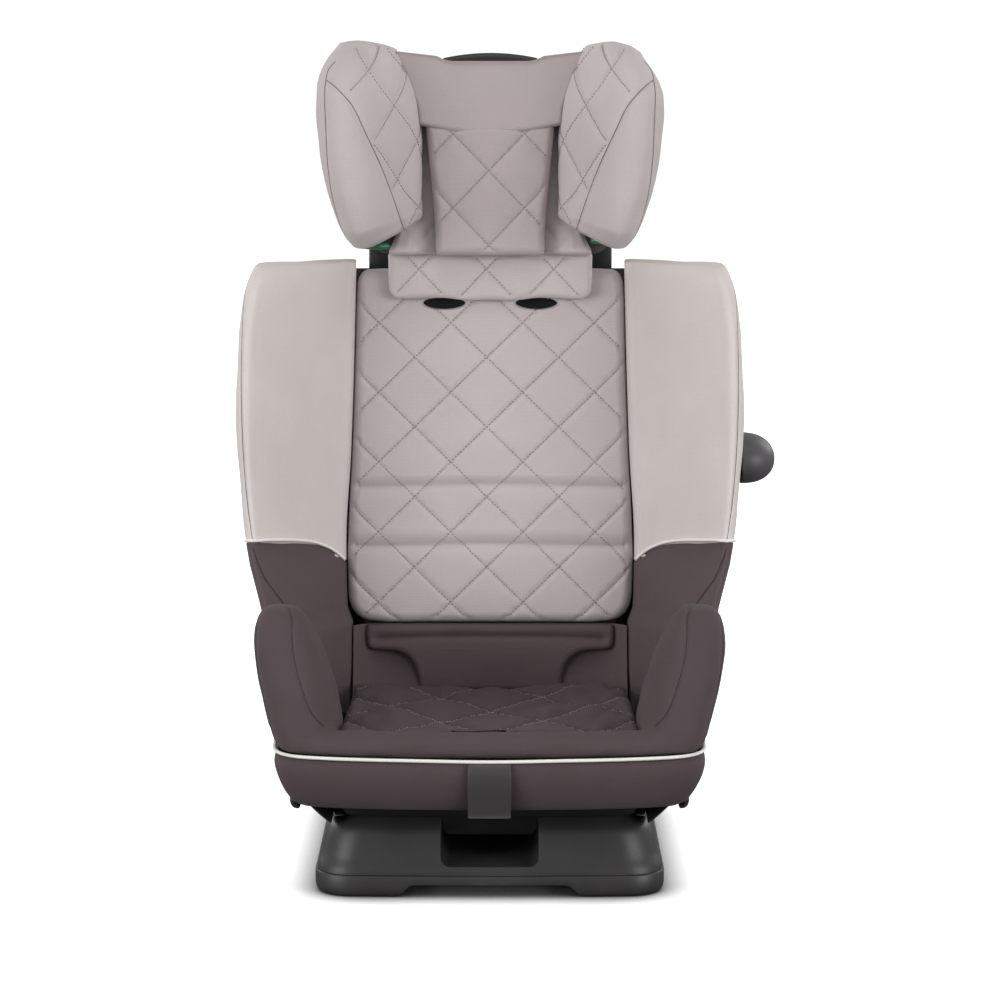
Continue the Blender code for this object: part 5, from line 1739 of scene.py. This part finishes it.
def back_cover():
    """The rear panel: a sunken field with a soft border, vents in two rows and a finger lip."""
    rows, columns = 170, 150
    z = np.linspace(0.135, SHELL_TOP, rows)
    t = np.linspace(-1, 1, columns)
    zz, tt = np.meshgrid(z, t, indexing="ij")
    rear = pchip(SHELL_REAR, zz)
    half = shell_half(rear, zz) - WALL - 0.0015
    tuck = 0.024 * np.clip((zz - 0.52) / (SHELL_TOP - 0.52), 0, None) ** 2
    x = half * tt
    y = rear - 0.004 + 0.01 * (1 - tt * tt) - tuck
    p = np.stack([x, y, zz], -1)
    n = normals(p)
    if n[rows // 2, columns // 2][1] < 0:
        n = -n
    field = np.maximum(np.abs(x) - 0.118, np.abs(zz - 0.345) - 0.155)
    h = -0.0028 / (1 + np.exp(field / 0.0013))
    h = h + 0.001 * np.exp(-((field / 0.003) ** 2))
    for level in (0.25, 0.268, 0.286):
        vent = np.maximum(np.abs(np.abs(x) - 0.048) - 0.03, np.abs(zz - level) - 0.0035)
        h = h - 0.003 / (1 + np.exp(np.clip(vent / 0.0006, -40, 40)))
    grip = np.maximum(np.abs(x) - 0.06, np.abs(zz - 0.44) - 0.02)
    h = h - 0.0035 / (1 + np.exp(np.clip(grip / 0.0012, -40, 40)))
    outer = p + n * h[..., None]
    inner = p - np.array([0, 0.0045, 0])
    inner[..., 1] = np.minimum(inner[..., 1], outer[..., 1] - 0.0015)
    make_slab("back_cover", outer, inner, SHELL_PLASTIC, "seat", ("back_cover",))


back_cover()

# The pan, with the fascia that closes its front under the skirt, near black as painted shade.
FASCIA_SECTION = (
    (0.014, 0.0765), (0.006, 0.09), (-0.005, 0.102), (-0.01, 0.1068), (-0.0085, 0.1077), (-0.006, 0.1076),
    (-0.0015, 0.1035), (0.009, 0.092), (0.017, 0.0775), (0.0165, 0.0765),
)
FASCIA_HALF = [
    (0.0, -0.208), (0.06, -0.207), (0.105, -0.2045), (0.13, -0.199), (0.144, -0.188), (0.149, -0.17),
    (0.1495, -0.11),
]


def fascia():
    """The strip between the skirt and the rockers, near black as painted shade."""
    plan = spline([(-x, y) for x, y in FASCIA_HALF[:0:-1]] + FASCIA_HALF, 160)
    rings = swept(plan, spline(FASCIA_SECTION, 40))
    return make_tube("pan_fascia", rings, SHADE_PLASTIC, "seat")


fascia()
for node, width in (
    ("seat_shell", 0.0009), ("rocker_left", 0.0012), ("rocker_right", 0.0012), ("recline_rail_left", 0.0008),
    ("recline_rail_right", 0.0008), ("recline_rack", 0.0004), ("recline_latch", 0.0005),
    ("pod_socket", 0.0008), ("headrest_post_left", 0.002), ("headrest_post_right", 0.002),
    ("headrest_bracket", 0.001), ("harness_yoke", 0.001), ("crotch_buckle", 0.001),
    ("harness_adjuster", 0.0008), ("adjuster_button", 0.0008), ("buckle_button", 0.0008),
):
    clone(node, width)
# The recline lever in near-black plastic: painted shade in the base's hand cavity.
clone("recline_lever", 0.0012, material=SHADE_PLASTIC)
for node in ("shoulder_strap_left", "shoulder_strap_right"):
    clone(node, 0.0004, material=WEBBING)
for node in ("back_foam", "seat_foam"):
    clone(node, 0.0035, segments=4)


HOOK_Y = -0.199
HOOK_WIDENING = 2.6
HOOK_PATH = ((0.172, 0.1065), (0.1785, 0.1015), (0.1808, 0.095), (0.1792, 0.09), (0.176, 0.089))


def cover_hook(label, side):
    """A small hook that holds the cover's edge under the shell."""
    path = spline([(side * x, HOOK_Y, z) for x, z in HOOK_PATH], 40)
    rings = capped(tube(path, 0.0029, 14), reach=0.0022, steps=4)
    rings[..., 1] = HOOK_Y + (rings[..., 1] - HOOK_Y) * HOOK_WIDENING
    make_tube("cover_hook_" + label, rings, BLACK_PLASTIC, "seat", ("cover_hook_" + label,))


# Rows of (height, outer edge, inset).
WEB_ROWS = (
    (0.0628, 0.1466, 0.0012), (0.0636, 0.1466, 0.0004), (0.066, 0.1468, 0.0), (0.07, 0.1494, 0.0),
    (0.078, 0.1558, 0.0), (0.086, 0.1614, 0.0), (0.094, 0.1651, 0.0), (0.102, 0.1676, 0.0),
    (0.1074, 0.169, 0.001),
)


def bulkhead(label, side):
    """The web that closes the pan between a rocker and the bucket's side, near black as painted shade."""
    rings = []
    for z, edge, inset in WEB_ROWS:
        plan = rounded(0.062 + inset, edge - inset, -0.128 + inset, -0.123 - inset, 0.0012, 4)
        rings.append(np.c_[side * plan[:, 0], plan[:, 1], np.full(len(plan), z)])
    make_tube("pan_web_" + label, rings, SHADE_PLASTIC, "seat")


for label, side in SIDES:
    cover_hook(label, side)
for label, side in SIDES:
    bulkhead(label, side)


LEVER_HALF = 0.0462


def headrest_lever():
    """The release lever: a bar with an arched top, in the headrest's recess."""
    rings = []
    for x in np.linspace(-LEVER_HALF, LEVER_HALF, 60):
        section = rounded(-0.012, 0.016, 0.751, 0.7742 - 0.005 * (x / LEVER_HALF) ** 2, 0.0045, 6)
        rings.append([(x, back_y(z) + o, z) for o, z in section])
    rings = capped(np.array(rings), reach=0.0018, steps=4)
    make_tube(
        "headrest_lever", rings, BLACK_PLASTIC, "headrest_release", ("headrest_lever",)
    )


headrest_lever()


COIL_RADIUS = 0.0045
COIL_Y = -0.2175


def adjuster_spring():
    """The coil under the adjuster button, which the button presses flat in use; here a fixed helix."""
    turn = np.linspace(0, 3 * 2 * math.pi, 150)
    height = np.linspace(0.1366, 0.1434, len(turn))
    path = np.stack([COIL_RADIUS * np.cos(turn), COIL_Y + COIL_RADIUS * np.sin(turn), height], 1)
    rings = tube(path, 0.0005, 10)
    spring = make_tube("adjuster_spring", rings, STEEL, "seat", ("adjuster_spring",))
    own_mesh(spring)


adjuster_spring()

# ---------------------------------------------------------------- stage

camera_data = bpy.data.cameras.new("camera")
camera_data.lens = 120
camera_data.sensor_width = 36
camera_data.clip_end = 50
camera = bpy.data.objects.new("camera", camera_data)
camera.location = (0.0096, -3.2, 0.78)
camera.rotation_euler = (math.radians(82.26), 0, 0)
bpy.context.scene.collection.objects.link(camera)
bpy.context.scene.camera = camera


def softbox(name, at, aim, size, power):
    """A large square light at a point, turned to another."""
    data = bpy.data.lights.new(name, "AREA")
    data.shape = "SQUARE"
    data.size = size
    data.energy = power
    light = bpy.data.objects.new(name, data)
    light.location = at
    light.rotation_euler = (Vector(aim) - Vector(at)).to_track_quat("-Z", "Y").to_euler()
    bpy.context.scene.collection.objects.link(light)


CENTRE = (0, 0, 0.4)
softbox("key", (-2.8, -2.3, 0.7), CENTRE, 1.9, 78)
softbox("fill", (2.8, -2.3, 0.65), CENTRE, 1.9, 74)
softbox("top", (0, -0.5, 2.8), CENTRE, 1.6, 9)
softbox("rear_left", (-2.2, 2.2, 1.6), CENTRE, 1.6, 22)
softbox("rear_right", (2.2, 2.2, 1.6), CENTRE, 1.6, 22)

world = bpy.data.worlds.new("studio")
world.use_nodes = True
sky = world.node_tree
ambient = sky.nodes["Background"]
ambient.inputs["Color"].default_value = (1, 1, 1, 1)
ambient.inputs["Strength"].default_value = 0.5
backdrop = add(sky, "ShaderNodeBackground", {"Color": (1, 1, 1, 1), "Strength": 1.05})
rays = add(sky, "ShaderNodeLightPath")
choice = add(sky, "ShaderNodeMixShader", {0: rays.outputs["Is Camera Ray"]})
sky.links.new(ambient.outputs[0], choice.inputs[1])
sky.links.new(backdrop.outputs[0], choice.inputs[2])
sky.links.new(choice.outputs[0], sky.nodes["World Output"].inputs["Surface"])
bpy.context.scene.world = world
bpy.context.scene.view_settings.view_transform = "Standard"

FLOOR_HALF = 9.0
FLOOR_Z = -0.0005
PAPER = (0.62, 0.62, 0.62)
floor_material, floor_tree, floor_shader = graph("studio_floor", (0.14, 0.14, 0.14), 0.9)
paper = add(floor_tree, "ShaderNodeBsdfPrincipled", {"Base Color": (*PAPER, 1), "Roughness": 0.9})
paper.inputs["Emission Color"].default_value = (1, 1, 1, 1)
# Painted contact shadow: ambient occlusion darkens the floor's colour and glow near the seat.
near = add(floor_tree, "ShaderNodeAmbientOcclusion", {"Distance": 0.03}, samples=8)
corner = add(floor_tree, "ShaderNodeMath", {0: near.outputs["AO"], 1: 2.2}, operation="POWER")
paper_painted_shadow = add(floor_tree, "ShaderNodeVectorMath", {0: PAPER}, operation="SCALE")
floor_tree.links.new(corner.outputs[0], paper_painted_shadow.inputs["Scale"])
floor_tree.links.new(paper_painted_shadow.outputs[0], paper.inputs["Base Color"])
spot = add(floor_tree, "ShaderNodeTexCoord")
away = add(floor_tree, "ShaderNodeVectorMath", {0: spot.outputs["Object"]}, operation="LENGTH")
fade = add(
    floor_tree,
    "ShaderNodeMapRange",
    {"Value": away.outputs["Value"], "From Min": 0.3, "From Max": 1.2, "To Min": 0.8, "To Max": 1.1},
)
glow_painted_shadow = add(floor_tree, "ShaderNodeMath", {0: fade.outputs[0], 1: corner.outputs[0]}, operation="MULTIPLY")
floor_tree.links.new(glow_painted_shadow.outputs[0], paper.inputs["Emission Strength"])
seen = add(floor_tree, "ShaderNodeLightPath")
look = add(floor_tree, "ShaderNodeMixShader", {0: seen.outputs["Is Camera Ray"]})
floor_tree.links.new(floor_shader.outputs[0], look.inputs[1])
floor_tree.links.new(paper.outputs[0], look.inputs[2])
floor_tree.links.new(look.outputs[0], floor_tree.nodes["Material Output"].inputs["Surface"])
corners = [(FLOOR_HALF * x, FLOOR_HALF * y, FLOOR_Z) for x, y in ((-1, -1), (1, -1), (1, 1), (-1, 1))]
add_object("floor", corners, [(0, 1, 2, 3)], floor_material)
